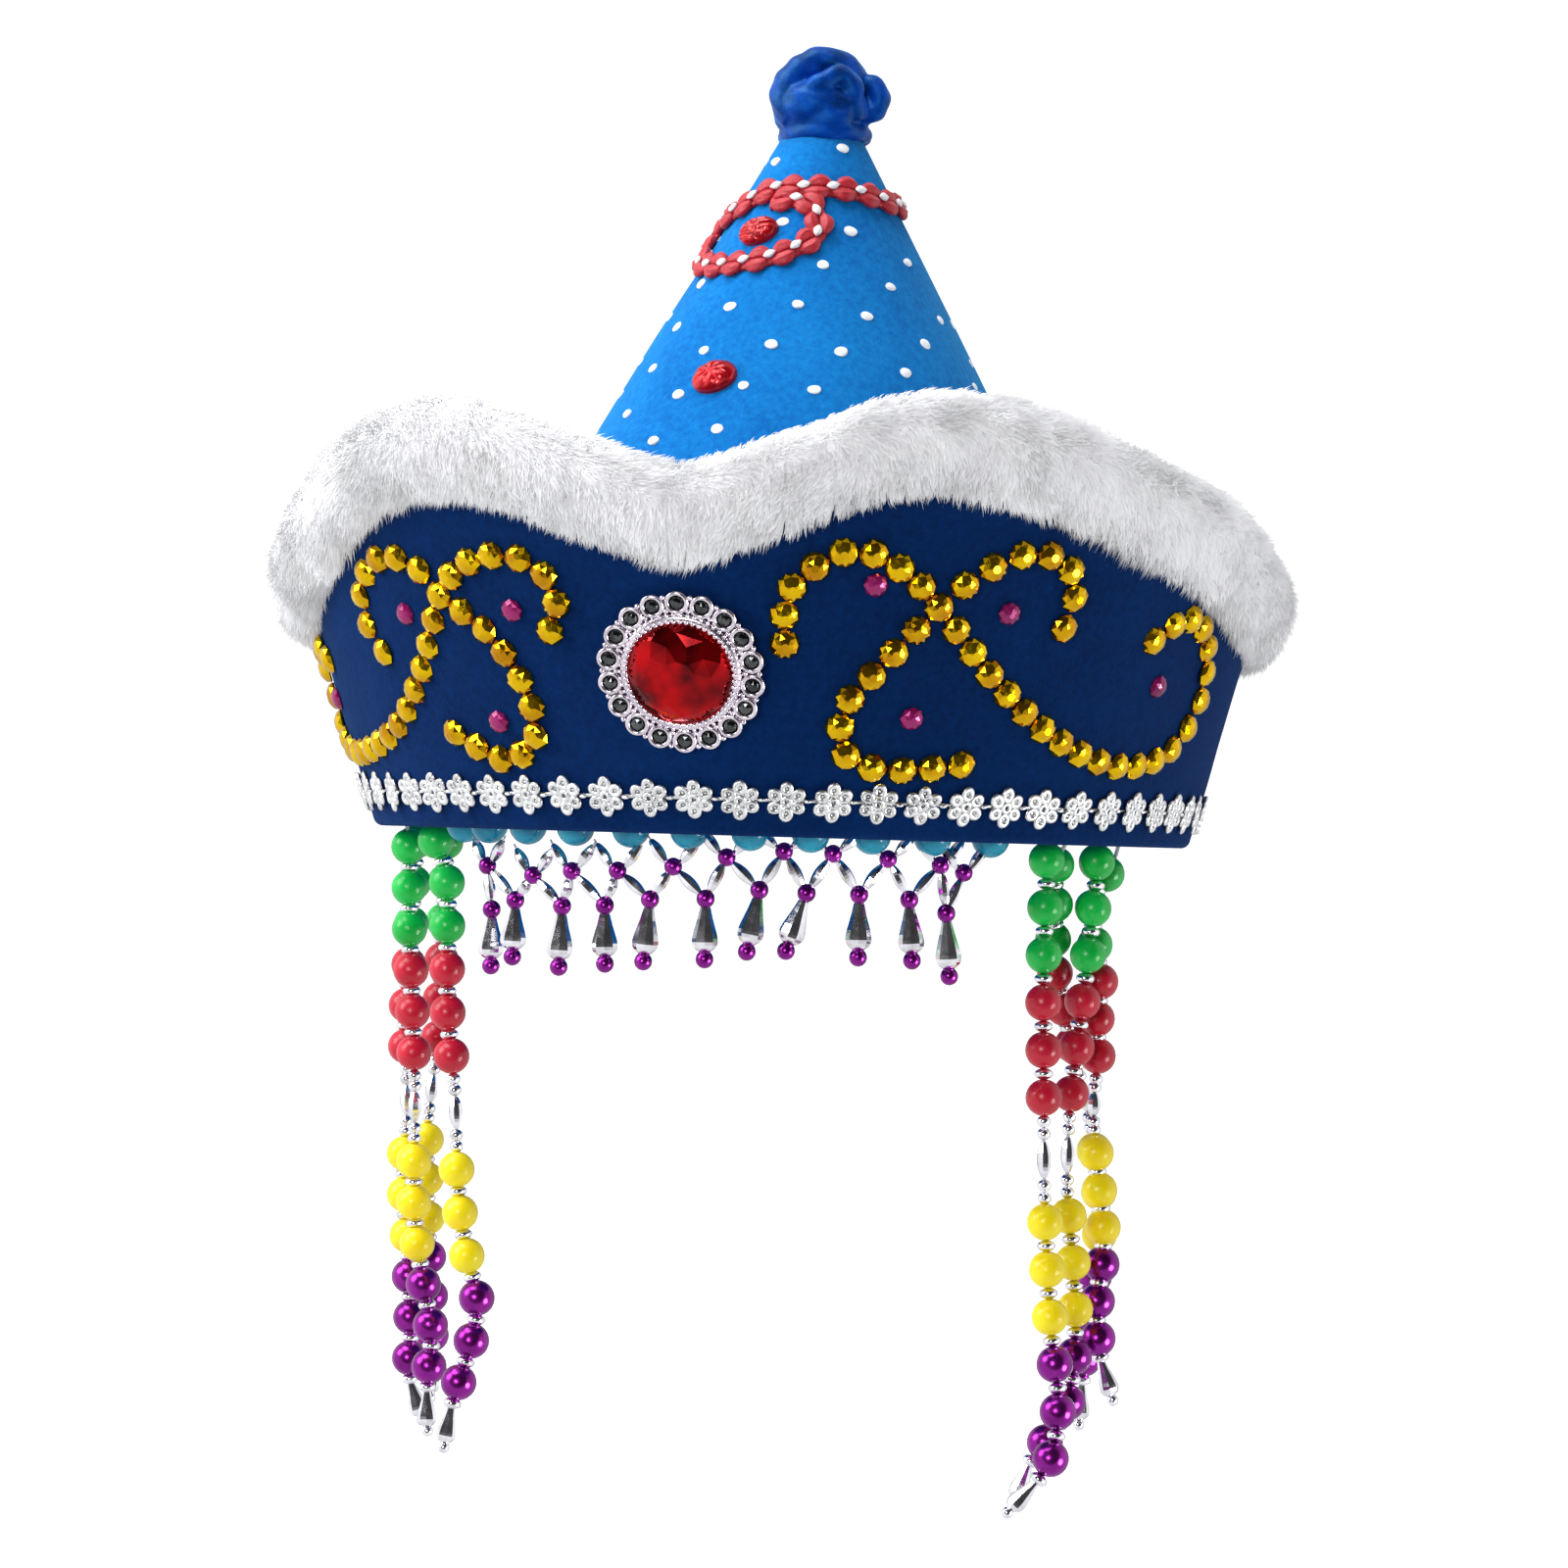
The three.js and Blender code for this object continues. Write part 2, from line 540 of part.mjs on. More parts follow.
// Stones set edge to edge along a stroke of the scroll, each with a narrow joint before it.
// A stroke that leaves the crossing starts inside the stone there.
function stoneChain(stroke, leavesCrossing) {
  const rows = stroke.map((row) => onBand(row.at, row.z));
  const curve = new THREE.CatmullRomCurve3(rows, false, 'centripetal');
  const length = curve.getLength();
  const pitches = Math.round(length / GOLD_STONE.pitch);
  const first = leavesCrossing ? 1 : 0;
  const stones = pitches + 1 - first;
  return strip(3 * stones, (share, across, out) => {
    const step = Math.round(share * 3 * stones);
    const stone = first + Math.floor(step / 3);
    const isJoint = step % 3 === 0;
    const jointBack = leavesCrossing && step === 0 ? GOLD_STONE.rootedJoint : 0.5;
    const half = isJoint ? -jointBack : ((step % 3) - 1.5) * 2 * GOLD_STONE.shoulder;
    const place = THREE.MathUtils.clamp((stone + half) / pitches, 0, 1);
    const overrun = (stone + half) / pitches - place;
    const middle = curve.getPointAt(place);
    const along = curve.getTangentAt(place);
    middle.addScaledVector(along, overrun * length);
    const degrees = THREE.MathUtils.radToDeg(Math.atan2(middle.x / RIM.x, -middle.y / RIM.y));
    const normal = bandFrame(degrees).out;
    const sideways = normal.clone().cross(along).normalize();
    const rise = isJoint ? GOLD_STONE.jointHeight : GOLD_STONE.thickness;
    const reach = isJoint ? GOLD_STONE.jointHalf : GOLD_STONE.radius;
    const taper = out > 0.5 ? TABLE_SHARE : 1;
    return onBand(degrees, middle.z, GAP + out * rise)
      .addScaledVector(sideways, 2 * across * reach * taper);
  });
}

function goldScroll(strokes) {
  return fuse(strokes.map((stroke, i) => stoneChain(stroke, i > 0)));
}

function magentaStone({ at, z }) {
  const { out, up } = bandFrame(at);
  const stone = cutStone(MAGENTA_STONE.radius, MAGENTA_STONE.radius, MAGENTA_STONE.thickness);
  return seated(stone, onBand(at, z, GAP), up, out);
}

function flowerTape() {
  return ring(4, BAND_STEPS, (degrees, corner) => {
    const isTop = corner === 1 || corner === 2;
    const outward = GAP + (corner < 2 ? TAPE.thickness : 0);
    return onBand(degrees, TAPE.z + (isTop ? 0.5 : -0.5) * TAPE.width, outward);
  });
}

// Big beads on a thread along the rim, with the drops that hang from it
function frontFringe() {
  const beads = FRINGE_BEADS.map((at) => {
    const reach = FRINGE_BEAD_RADIUS;
    const ballShape = new THREE.SphereGeometry(reach, FRINGE_BEAD_SIDES, 4).rotateX(Math.PI / 2);
    const place = onEllipse(FRINGE.x, FRINGE.y, at, FRINGE.z);
    return ballShape.translate(place.x, place.y, place.z);
  });
  const span = FRINGE_BEADS[FRINGE_BEADS.length - 1] - FRINGE_BEADS[0];
  const thread = strip(FRINGE_BEADS.length - 1, (share, across, out) => {
    const degrees = FRINGE_BEADS[0] + share * span;
    const inward = (out - 0.5) * 2 * THREAD_RADIUS;
    return onEllipse(FRINGE.x - inward, FRINGE.y - inward, degrees, FRINGE.z - across * 2 * THREAD_RADIUS);
  });
  const drops = FRINGE_DROPS.map(fringeDrop);
  return fuse([thread, ...beads, ...drops]);
}

// Thread, drop bead and end bead below the rim
function fringeDrop({ at, bead, end }) {
  const top = onEllipse(FRINGE.x, FRINGE.y, at, FRINGE.z);
  const bottom = top.clone().setZ(end);
  const curve = new THREE.LineCurve3(top, bottom);
  const widest = (FRINGE.z - bead) + (bead - end) * DROP.widestShare;
  const profile = [
    { s: 0, radius: THREAD_RADIUS },
    { s: FRINGE.z - bead, radius: THREAD_RADIUS },
    { s: widest, radius: DROP.radius },
    { s: FRINGE.z - end, radius: DROP.tipRadius },
  ];
  return turned(profile, DROP.sides, curve);
}

// Stem up the inside wall, from its top to the middle of the first bead
function stemPoints({ sewnAt, line }) {
  return [
    onEllipse(STEM.x, STEM.y, sewnAt, STRING.stemTop),
    onEllipse(STEM.x, STEM.y, sewnAt, COLLAR.foot + 0.5),
    new THREE.Vector3(...line[0]),
  ];
}

function stringCurve(string) {
  const hanging = string.line.slice(1).map((row) => new THREE.Vector3(...row));
  return new THREE.CatmullRomCurve3([...stemPoints(string), ...hanging], false, 'centripetal');
}

// Twelve big beads in four colours, silver beads between, and a silver drop at the end.
// The spacing is fitted to the length of the string's own middle line.
function beadString(string) {
  const curve = stringCurve(string);
  const stemLength = stemPoints(string).reduce((sum, point, i, all) => (
    i === 0 ? sum : sum + point.distanceTo(all[i - 1])), 0);
  const beads = STRING_GROUPS.length * BEADS_PER_GROUP;
  const plain = (beads - 1.5) * STRING.pitch + STRING.silver;
  const fit = (curve.getLength() - stemLength - STRING.drop) / plain;
  const pitch = STRING.pitch * fit;
  const profile = [
    { s: 0, radius: THREAD_RADIUS },
    { s: stemLength - STRING.bead, radius: THREAD_RADIUS },
  ];
  let s = stemLength;
  STRING_GROUPS.forEach((group, index) => {
    for (let k = 0; k < BEADS_PER_GROUP; k += 1) {
      profile.push({ s: s - STRING.bead * STRING.beadFlat, radius: STRING.bead });
      profile.push({ s: s + STRING.bead * STRING.beadFlat, radius: STRING.bead });
      profile.push({ s: s + pitch / 2, radius: STRING.neck });
      s += pitch;
    }
    if (index === 1) {
      const extra = STRING.silver * fit - pitch;
      SILVER_SECTION.forEach(({ share, radius }) => {
        profile.push({ s: s - pitch / 2 + extra * share, radius });
      });
      s += extra;
    }
  });
  const tip = s - pitch / 2;
  STRING_TIP.forEach(({ share, radius }) => {
    profile.push({ s: tip + STRING.drop * share, radius });
  });
  return turned(profile, STRING.sides, curve);
}

function rearString(string) {
  const curve = stringCurve(string);
  const length = curve.getLength();
  const steps = Math.round(length / TUBE.step);
  const profile = [
    { s: 0, radius: THREAD_RADIUS },
    { s: STRING.stemTop, radius: THREAD_RADIUS },
  ];
  const start = STRING.stemTop + TUBE.shoulder;
  for (let i = 0; i <= steps; i += 1) {
    const s = THREE.MathUtils.lerp(start, length - TUBE.tipLength, i / steps);
    profile.push({ s, radius: TUBE.radius });
  }
  profile.push({ s: length, radius: TUBE.tipRadius });
  return turned(profile, TUBE.sides, curve);
}

const hat = new THREE.Group();

function add(name, geometry, look) {
  const mesh = new THREE.Mesh(geometry, look);
  mesh.name = name;
  hat.add(mesh);
}

add('brim_band', brimBand(), material(COLORS.band, 0.95, 0));
add('crown', crown(), material(COLORS.cone, 0.95, 0));
add('fur_trim', furTrim(), material(COLORS.fur, 1, 0));
add('top_knot', topKnot(), material(COLORS.knot, 0.9, 0));
add('crown_braid', crownBraid(), material(COLORS.braid, 0.8, 0));
for (const stone of CONE_STONES) {
  add(stone.name, coneStone(stone), material(COLORS.ruby, 0.2, 0));
}
add('medallion_setting', medallionSetting(), material(COLORS.silver, 0.25, 1));
add('medallion_stone', medallionStone(), material(COLORS.ruby, 0.1, 0));
add('flower_tape', flowerTape(), material(COLORS.silver, 0.4, 0.6));
for (const side of ['left', 'right']) {
  add(`gold_scroll_${side}`, goldScroll(GOLD_STROKES[side]), material(COLORS.gold, 0.25, 0.9));
  MAGENTA_STONES[side].forEach((stone, i) => {
    const look = material(COLORS.magenta, 0.2, 0);
    add(`magenta_stone_${side}_${i + 1}`, magentaStone(stone), look);
  });
}
add('front_fringe', frontFringe(), material(COLORS.teal, 0.3, 0));
for (const string of FRONT_STRINGS) {
  add(string.name, beadString(string), material(COLORS.green, 0.3, 0));
}
for (const string of REAR_STRINGS) {
  add(string.name, rearString(string), material(COLORS.green, 0.3, 0));
}

export default hat;
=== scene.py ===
import math

import bpy
import numpy as np
from mathutils import Matrix, Vector


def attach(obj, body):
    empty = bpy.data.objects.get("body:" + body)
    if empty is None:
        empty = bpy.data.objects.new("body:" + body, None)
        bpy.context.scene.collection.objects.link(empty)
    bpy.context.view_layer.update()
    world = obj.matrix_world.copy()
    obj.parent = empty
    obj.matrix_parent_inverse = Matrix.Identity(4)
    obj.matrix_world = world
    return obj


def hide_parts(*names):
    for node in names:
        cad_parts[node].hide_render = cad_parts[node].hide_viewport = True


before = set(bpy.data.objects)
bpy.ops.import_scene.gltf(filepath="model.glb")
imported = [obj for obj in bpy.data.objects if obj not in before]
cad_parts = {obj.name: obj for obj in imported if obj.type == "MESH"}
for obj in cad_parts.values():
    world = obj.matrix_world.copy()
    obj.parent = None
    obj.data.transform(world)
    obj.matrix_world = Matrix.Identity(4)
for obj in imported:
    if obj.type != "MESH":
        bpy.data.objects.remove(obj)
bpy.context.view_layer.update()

# Looks of the dance hat: felt, fur, cloth knot, braid, cut stones and beads.
# Lengths are millimetres unless a name says otherwise. Angles are degrees round the hat
# from the front, positive towards +X.
MM = 0.001
UP = np.array([0.0, 0.0, 1.0])

# Felt band
RIM = {"x": 91.5, "y": 97.5}
BAND_WALL = 3.0
FLARE_MEAN = 16.0
FLARE_SWING = 7.0
TOP_EDGE_AT = [0, 12, 20, 28, 37, 48, 62, 80, 105, 140, 180]
TOP_EDGE_LEFT = [65.8, 73.5, 78.6, 79.0, 74.6, 64.8, 55.6, 51.2, 52.0, 60.0, 67.0]
TOP_EDGE_RIGHT = [65.8, 73.5, 80.0, 81.4, 78.8, 72.4, 66.0, 56.0, 52.6, 60.0, 67.0]

# Felt cone
COLLAR = {"x": 88.1, "y": 94.1, "foot": 2.0, "top": 15.0}
CONE_TOP = {"radius": 10.9, "z": 155.0}
CONE_WALL = 2.0
CONE_LEAN = 4.4
CONE_DOTS = [  # angle and height of the dots in sight, and then how the rest are set out
    (37.3, 155.1), (-41.5, 151.9), (-9.8, 137.0), (31.9, 135.3), (15.8, 127.0), (67.5, 129.4),
    (48.4, 122.9), (75.0, 116.6), (57.3, 110.2), (33.6, 115.5), (6.1, 117.6), (-22.8, 117.1),
    (-48.7, 113.1), (-49.7, 123.2), (-1.4, 108.2), (22.5, 106.9), (44.5, 103.0), (79.4, 101.9),
    (14.0, 97.9), (-7.5, 98.6), (-29.0, 96.8), (-26.3, 106.9), (-49.2, 103.5), (-49.2, 93.0),
    (-11.7, 88.6), (-30.5, 86.2),
]
DOT_RADIUS = 1.3
DOT_ROWS = {"foot": 70, "top": 153, "rise": 9.2, "spacing": 15}
DOTS_SEEN = {"from": -58, "to": 86, "foot": 84}

# Fur roll: section of its backing, the hairs over it, where round the section they grow in
# degrees, how they gather into tufts, and the half widths of a hair
FUR_CORE = {"out": 6.5, "up": 8.9, "middle": 0.4}
FUR_SHEETS = 4
BLADES_PER_SHEET = 44000
FUR_SEED = 11
FUR_TURNS = (-88, 230)
FUR_GLOW = 0.19
TUFTS = {"around": 230, "across": 20, "first_turn": -100, "seed": 99}
BLADE = {"root": 0.13, "middle": 0.11, "sunk": 0.3}

# Braid on the cone
BRAID = {"gap": 0.5, "z": 144.8, "dip": 6.2, "dip_at": -75.0, "dip_half": 60.0,
         "sag": 2.2, "sag_at": 85.0, "sag_half": 65.0}
BRAID_PITCH = 5.9
BRAID_HALF_WIDTH = 3.3
BRAID_LOOP = [(-84, 139.5), (-74, 131.6), (-54, 127.4), (-22, 127.2), (0, 130.0), (13, 134.8),
              (10, 139.6), (-6, 142.0), (-22, 141.4)]
CONE_STONES = {"crown_stone_upper": (-22.9, 134.6), "crown_stone_lower": (-17.8, 100.4)}

# Cloth knot: where its foot is, how far it is turned towards the right, its lumps of a middle and
# half sizes each, and its rolls of a line and the radii along it
KNOT_FOOT = (4.9, 0.0, 157.4)
KNOT_TURN = 11.2
KNOT_VOXEL = 0.5 * MM
KNOT_LUMPS = [((-0.6, 0.4, 8.6), (9.6, 8.2, 6.6)), ((0.2, 2.6, 12.0), (8.4, 7.4, 8.2)),
              ((-2.6, -4.8, 8.0), (7.6, 6.0, 5.6)), ((10.4, 0.8, 9.6), (3.2, 3.2, 4.4))]
KNOT_ROLLS = [
    ([(-6.6, -4.8, 4.6), (-8.4, -3.8, 8.0), (-8.2, -3.0, 11.6), (-5.8, -2.2, 15.4),
      (-1.8, -1.0, 18.2), (2.4, -0.6, 17.8), (5.6, -0.6, 15.2), (7.6, -0.6, 10.5)],
     (3.2, 4.0, 4.2, 3.8, 3.4, 3.6, 3.8, 3.6)),
    ([(-5.4, -7.2, 9.4), (-2.4, -8.0, 11.8), (1.4, -7.4, 14.0), (4.2, -5.4, 15.4)],
     (1.8, 2.2, 2.3, 2.2)),
    ([(3.4, -5.6, 15.2), (5.8, -5.8, 12.4), (6.4, -5.6, 8.4), (6.2, -5.2, 4.8)],
     (2.3, 2.6, 2.9, 2.9)),
    ([(-4.2, -6.4, 5.0), (0.6, -8.2, 4.6), (5.4, -7.0, 5.2)], (2.2, 2.7, 2.6)),
    ([(8.6, -3.4, 5.6), (11.6, -3.4, 7.2), (12.4, -2.8, 10.8), (10.8, -2.4, 13.6),
      (8.6, -1.4, 13.4)], (2.2, 2.3, 2.4, 2.1, 2.0)),
    ([(-7, 4, 6), (-5, 7.6, 12), (1.6, 7.8, 16.4), (7, 4.5, 13.0)], (3.4, 3.8, 3.6, 3.2)),
]

# Medallion: height of its middle, and the gems and bezel teeth round its stone
MEDALLION_Z = 34.2
MEDALLION_BEADS = 18
BEZEL_TEETH = 54
GEM_RING = 15.35

# Gold and magenta stones
GOLD_STONE = {"radius": 3.3, "height": 2.3, "pitch": 6.7}
MAGENTA_SIZE = (2.6, 2.6, 1.7)
STONE_ROWS = [(0.94, 0.0, 0.0), (1.0, 0.16, 0.0), (0.84, 0.56, 0.5), (0.56, 0.84, 0.0),
              (0.26, 0.98, 0.5)]
STONE_LIFT = 0.15
RIGHT_CROSSING = (27.1, 48.6)
LEFT_CROSSING = (-28.6, 49.0)
GOLD_STROKES = {
    "right": [
        [(11.1, 40), (11.4, 51), (17.4, 59.4), (23, 55.4), RIGHT_CROSSING],
        [RIGHT_CROSSING, (35.9, 33.5), (46.5, 22.1), (59, 17.3), (69, 21.5), (72.6, 32),
         (69, 45), (62.6, 49.4), (57.3, 44.2)],
        [RIGHT_CROSSING, (31.2, 56), (37.2, 60.6), (42.6, 55.6), (42.7, 45.6)],
        [RIGHT_CROSSING, (22.5, 37.8), (18, 26), (19.4, 16.8), (26, 14.8), (33.6, 16.4)],
    ],
    "left": [
        [(-14.7, 41.8), (-13.3, 49), (-15.5, 55.4), (-21, 57), (-26, 53.2), LEFT_CROSSING],
        [LEFT_CROSSING, (-35.9, 32.1), (-44, 21.8), (-56, 16.6), (-67, 17.4), (-73.5, 24),
         (-73, 34), (-67.5, 39.5), (-62.8, 36.6)],
        [LEFT_CROSSING, (-30.4, 54), (-36, 57.3), (-42.2, 51.5), (-43.8, 44.7), (-41.8, 37.4)],
        [LEFT_CROSSING, (-22.8, 41), (-19.4, 29), (-19.6, 19.5), (-24.7, 14.8), (-32.2, 20.4)],
    ],
}
MAGENTA_STONES = {
    "right": [(20.5, 52.6), (26.5, 25.6), (35.9, 48), (61.4, 34.7)],
    "left": [(-19.4, 45.9), (-24.7, 22.8), (-35.7, 45.3), (-66.5, 28)],
}

# Flower tape
TAPE = {"z": 7.8, "flowers": 62, "radius": 4.0}

# Front fringe: its oval, big beads, the small beads at the top of the net, and the drops below
FRINGE = {"x": 81.5, "y": 87.5, "z": 0.9}
FRINGE_BEADS = [-46, -39, -30, -20.7, -11.2, -2, 7.2, 16.2, 25.4, 35, 45]
FRINGE_BEAD_RADIUS = 4.1
NET_TOPS = [(-39.2, -8.0), (-28.7, -9.7), (-21.2, -8.5), (-13.2, -8.1), (-4.3, -6.9), (3.8, -4.6),
            (12.3, -3.0), (19.6, -3.2), (28.0, -4.0), (36.4, -5.0), (40.4, -6.5)]
NET_DROPS = [  # angle and height of the upper bead, then of the lower end
    (-37.8, -17.4, -37.6, -31.5), (-32.3, -15.2, -32.6, -29.3), (-22.8, -16.1, -23.1, -31.0),
    (-15.2, -15.6, -14.9, -29.9), (-7.8, -14.0, -8.6, -29.1), (0.8, -13.5, 0.9, -28.2),
    (8.8, -11.3, 7.2, -26.3), (15.8, -11.7, 13.0, -25.9), (23.7, -11.7, 23.8, -26.9),
    (31.5, -12.5, 32.2, -27.3), (37.6, -15.2, 38.4, -30.5),
]
NET_BEAD = 1.95
THREAD = 0.22

# Bead strings: bead radius and spacing along the string, how much further down some begin, and
# then where each is sewn and the line it hangs on
STRING = {"bead": 4.0, "pitch": 10.3, "silver": 27.0, "drop": 11.5, "stem_top": 7.0}
STEM = {"x": 85.0, "y": 91.0}
STRING_STARTS = {"right_4": 3.5, "left_1": 1.6}
STRING_COLOURS = ["green", "red", "yellow", "purple"]
BEADS_PER_COLOUR = 3
SILVER_AFTER = 1
STRINGS = {
    "right_1": (53.5, [
        (68.4, -51.7, -3.4), (68.3, -51.7, -24), (69.2, -51.5, -56), (70, -51.4, -78),
        (72, -51, -104), (74, -50.7, -121), (72.4, -51.2, -133), (63, -53.4, -145),
    ]),
    "right_2": (64.4, [
        (77.2, -37.3, -3.5), (75.7, -37, -25), (72.6, -35.6, -57), (72.5, -35.5, -75),
        (74.5, -35.3, -95), (75, -35.2, -111), (73, -35.6, -124), (66, -37, -135),
        (62.5, -37.6, -145),
    ]),
    "right_3": (58.6, [
        (69, -42.2, -4.4), (68.4, -38, -15), (67.2, -30.4, -25.4), (68.6, -24, -35),
        (70.6, -19.2, -45), (73.8, -16, -59.4), (76.4, -15.6, -74), (77, -15.6, -88),
        (75, -15.8, -104), (73.6, -16, -129.5),
    ]),
    "right_4": (72.0, [
        (79.6, -27.1, -3), (75.7, -28.7, -11), (75.6, -28.6, -19), (77.4, -28.1, -29),
        (76.9, -28.2, -38), (77.3, -27.9, -47), (76.6, -28.1, -57), (77.7, -27.7, -69.4),
        (79.6, -27.2, -87), (78.6, -27.3, -100), (79.5, -27, -111.5), (83, -26.1, -122.7),
    ]),
    "left_1": (-70.5, [
        (-80, -27.7, -3), (-79.3, -27.4, -22), (-78, -27.2, -42), (-77, -27, -60),
        (-76.3, -26.8, -88), (-74, -26.4, -102), (-71.8, -26, -114), (-72.4, -26.1, -125),
        (-72, -26, -137),
    ]),
    "left_2": (-55.5, [
        (-68, -49.3, -3), (-65.4, -48.7, -12), (-65, -48.5, -24), (-64.4, -48.4, -41),
        (-62.2, -48, -60), (-61.2, -47.8, -79), (-59, -47.4, -93), (-56.2, -46.8, -105),
        (-58, -47.2, -116), (-60.8, -47.7, -126), (-62.8, -48, -138),
    ]),
    "left_3": (-87.0, [
        (-84.4, -4.8, -3.5), (-85, -4.8, -26), (-85.6, -4.8, -46), (-84.8, -4.5, -62),
        (-85.1, -4.3, -80), (-83.6, -3.9, -98), (-82.6, -3.6, -114), (-82.4, -3.5, -126),
        (-79, -2.5, -137),
    ]),
    "left_4": (-102.0, [
        (-83, 17.6, -3.5), (-83.8, 17.7, -49), (-85.6, 17.7, -72), (-84.6, 18.2, -96),
        (-83.4, 18.6, -114), (-83.2, 18.7, -134),
    ]),
}

# Room: a white tent, and the shades in it: direction, the angles between which each fades, and
# how bright its middle is. The first is the tent's dark opening in front.
TENT_WHITE = 1.2
TENT_SHADES = [
    ((0.2, -1.0, 0.48), 46.0, 68.0, 0.05),
    ((0, 1, 0), 15.0, 62.0, 0.45),
    ((0, 0, -1), 30.0, 80.0, 0.8),
    ((0, 0, 1), 25.0, 80.0, 0.5),
]

# Lamps: place and aim in metres, size and watts
LAMPS = {
    "key": ((-1.7, -0.8, 1.0), (0, 0, 0.05), 1.3, 27),
    "overhead": ((-0.6, -0.5, 1.9), (0, 0, 0.05), 1.5, 43),
    "front": ((-0.2, -2.2, 0.3), (0, 0, -0.02), 0.7, 16),
    "side": ((1.8, -0.5, -0.6), (0, 0, 0), 0.9, 56),
}

# Floor, well below the strings, and how much it glows
STAGE_Z = -235
STAGE_GLOW = 0.72

# Camera at the photograph's angle, in metres and degrees
CAMERA = {"distance": 1.3, "target_z": 0.012, "yaw": 11.2, "elevation": -0.5, "roll": 1.65,
          "lens": 131.8}


# Curves and directions on the hat

def as_array(value):
    return np.asarray(value, float)


def circle(count):
    """Angles in radians that share a full turn evenly."""
    return np.linspace(0, 2 * np.pi, count, endpoint=False)


def full_turn(count):
    """Degrees round the hat from its back."""
    return np.linspace(-180, 180, count, endpoint=False)


def oval(half_width, half_depth, t, z=0.0):
    return np.stack([half_width * np.cos(t), half_depth * np.sin(t), z + 0 * t], -1)


def unit(vectors):
    return vectors / np.maximum(np.linalg.norm(vectors, axis=-1, keepdims=True), 1e-9)


def smooth_row(at, values, x):
    """Smooth curve through a table, level at both ends."""
    at, values, x = as_array(at), as_array(values), as_array(x)
    slopes = np.zeros(len(at))
    slopes[1:-1] = (values[2:] - values[:-2]) / (at[2:] - at[:-2])
    i = np.clip(np.searchsorted(at, x, side="left") - 1, 0, len(at) - 2)
    span = at[i + 1] - at[i]
    t = (x - at[i]) / span
    rise = t * t * (3 - 2 * t)
    pulls = t * (1 - t) ** 2 * span * slopes[i] + t * t * (t - 1) * span * slopes[i + 1]
    return values[i] * (1 - rise) + values[i + 1] * rise + pulls


def on_ellipse(half_width, half_depth, degrees, z=0.0):
    t = np.radians(as_array(degrees))
    return np.stack([half_width * np.sin(t), -half_depth * np.cos(t), z + 0 * t], -1)


def band_frame(degrees):
    """Level, up-slope and outward directions on the band, and the slope in radians."""
    t = np.radians(as_array(degrees))
    level = unit(np.stack([np.sin(t) / RIM["x"], -np.cos(t) / RIM["y"], 0 * t], -1))
    slope = np.radians(FLARE_MEAN + FLARE_SWING * np.cos(t))[..., None]
    up = level * np.sin(slope) + UP * np.cos(slope)
    out = level * np.cos(slope) - UP * np.sin(slope)
    return level, up, out, slope


def on_band(degrees, z, outward=0.0):
    level, _, out, slope = band_frame(degrees)
    z = as_array(z) + 0 * as_array(degrees)
    outward = as_array(outward) + 0 * z
    base = on_ellipse(RIM["x"], RIM["y"], degrees, z)
    return base + level * np.tan(slope) * z[..., None] + out * outward[..., None]


def top_edge(degrees):
    degrees = as_array(degrees)
    left = smooth_row(TOP_EDGE_AT, TOP_EDGE_LEFT, np.abs(degrees))
    right = smooth_row(TOP_EDGE_AT, TOP_EDGE_RIGHT, np.abs(degrees))
    return np.where(degrees < 0, left, right)


def on_cone(degrees, z, outward=0.0):
    z = as_array(z) + 0 * as_array(degrees)
    share = (np.maximum(z, COLLAR["top"]) - COLLAR["top"]) / (CONE_TOP["z"] - COLLAR["top"])
    half_width = COLLAR["x"] + (CONE_TOP["radius"] - COLLAR["x"]) * share + outward
    half_depth = COLLAR["y"] + (CONE_TOP["radius"] - COLLAR["y"]) * share + outward
    t = np.radians(as_array(degrees))
    return np.stack([half_width * np.sin(t) + CONE_LEAN * share, -half_depth * np.cos(t), z], -1)


def cone_normal(degrees, z):
    along = on_cone(degrees + 0.5, z) - on_cone(degrees - 0.5, z)
    up = on_cone(degrees, z + 0.5) - on_cone(degrees, z - 0.5)
    return unit(np.cross(along, up))


class Path:
    """Smooth line through a few points, measured by its length."""

    STEPS = 32

    def __init__(self, rows):
        rows = as_array(rows)
        ends = np.vstack([2 * rows[0] - rows[1], rows, 2 * rows[-1] - rows[-2]])
        t = np.linspace(0, 1, self.STEPS, endpoint=False)[:, None]
        parts = [self.span(*ends[i:i + 4], t) for i in range(len(rows) - 1)]
        self.points = np.vstack(parts + [rows[-1:]])
        steps = np.linalg.norm(np.diff(self.points, axis=0), axis=1)
        self.marks = np.concatenate([[0], np.cumsum(steps)])
        self.length = self.marks[-1]

    @staticmethod
    def span(a, b, c, d, t):
        before, here, after = (max(np.linalg.norm(q - p) ** 0.5, 1e-4)
                               for p, q in ((a, b), (b, c), (c, d)))
        start = ((b - a) / before - (c - a) / (before + here) + (c - b) / here) * here
        end = ((c - b) / here - (d - b) / (here + after) + (d - c) / after) * here
        turn = 2 * (b - c) + start + end
        bend = 3 * (c - b) - 2 * start - end
        return b + start * t + bend * t ** 2 + turn * t ** 3

    def at(self, s):
        s = np.clip(as_array(s), 0, self.length)
        return np.stack([np.interp(s, self.marks, column) for column in self.points.T], -1)

    def along(self, s, reach=0.4):
        return unit(self.at(as_array(s) + reach) - self.at(as_array(s) - reach))


# Seeded noise that repeats round the hat

def noise_grid(seed, rows, columns, channels=1):
    return np.random.default_rng(seed).uniform(-1, 1, (rows, columns, channels))


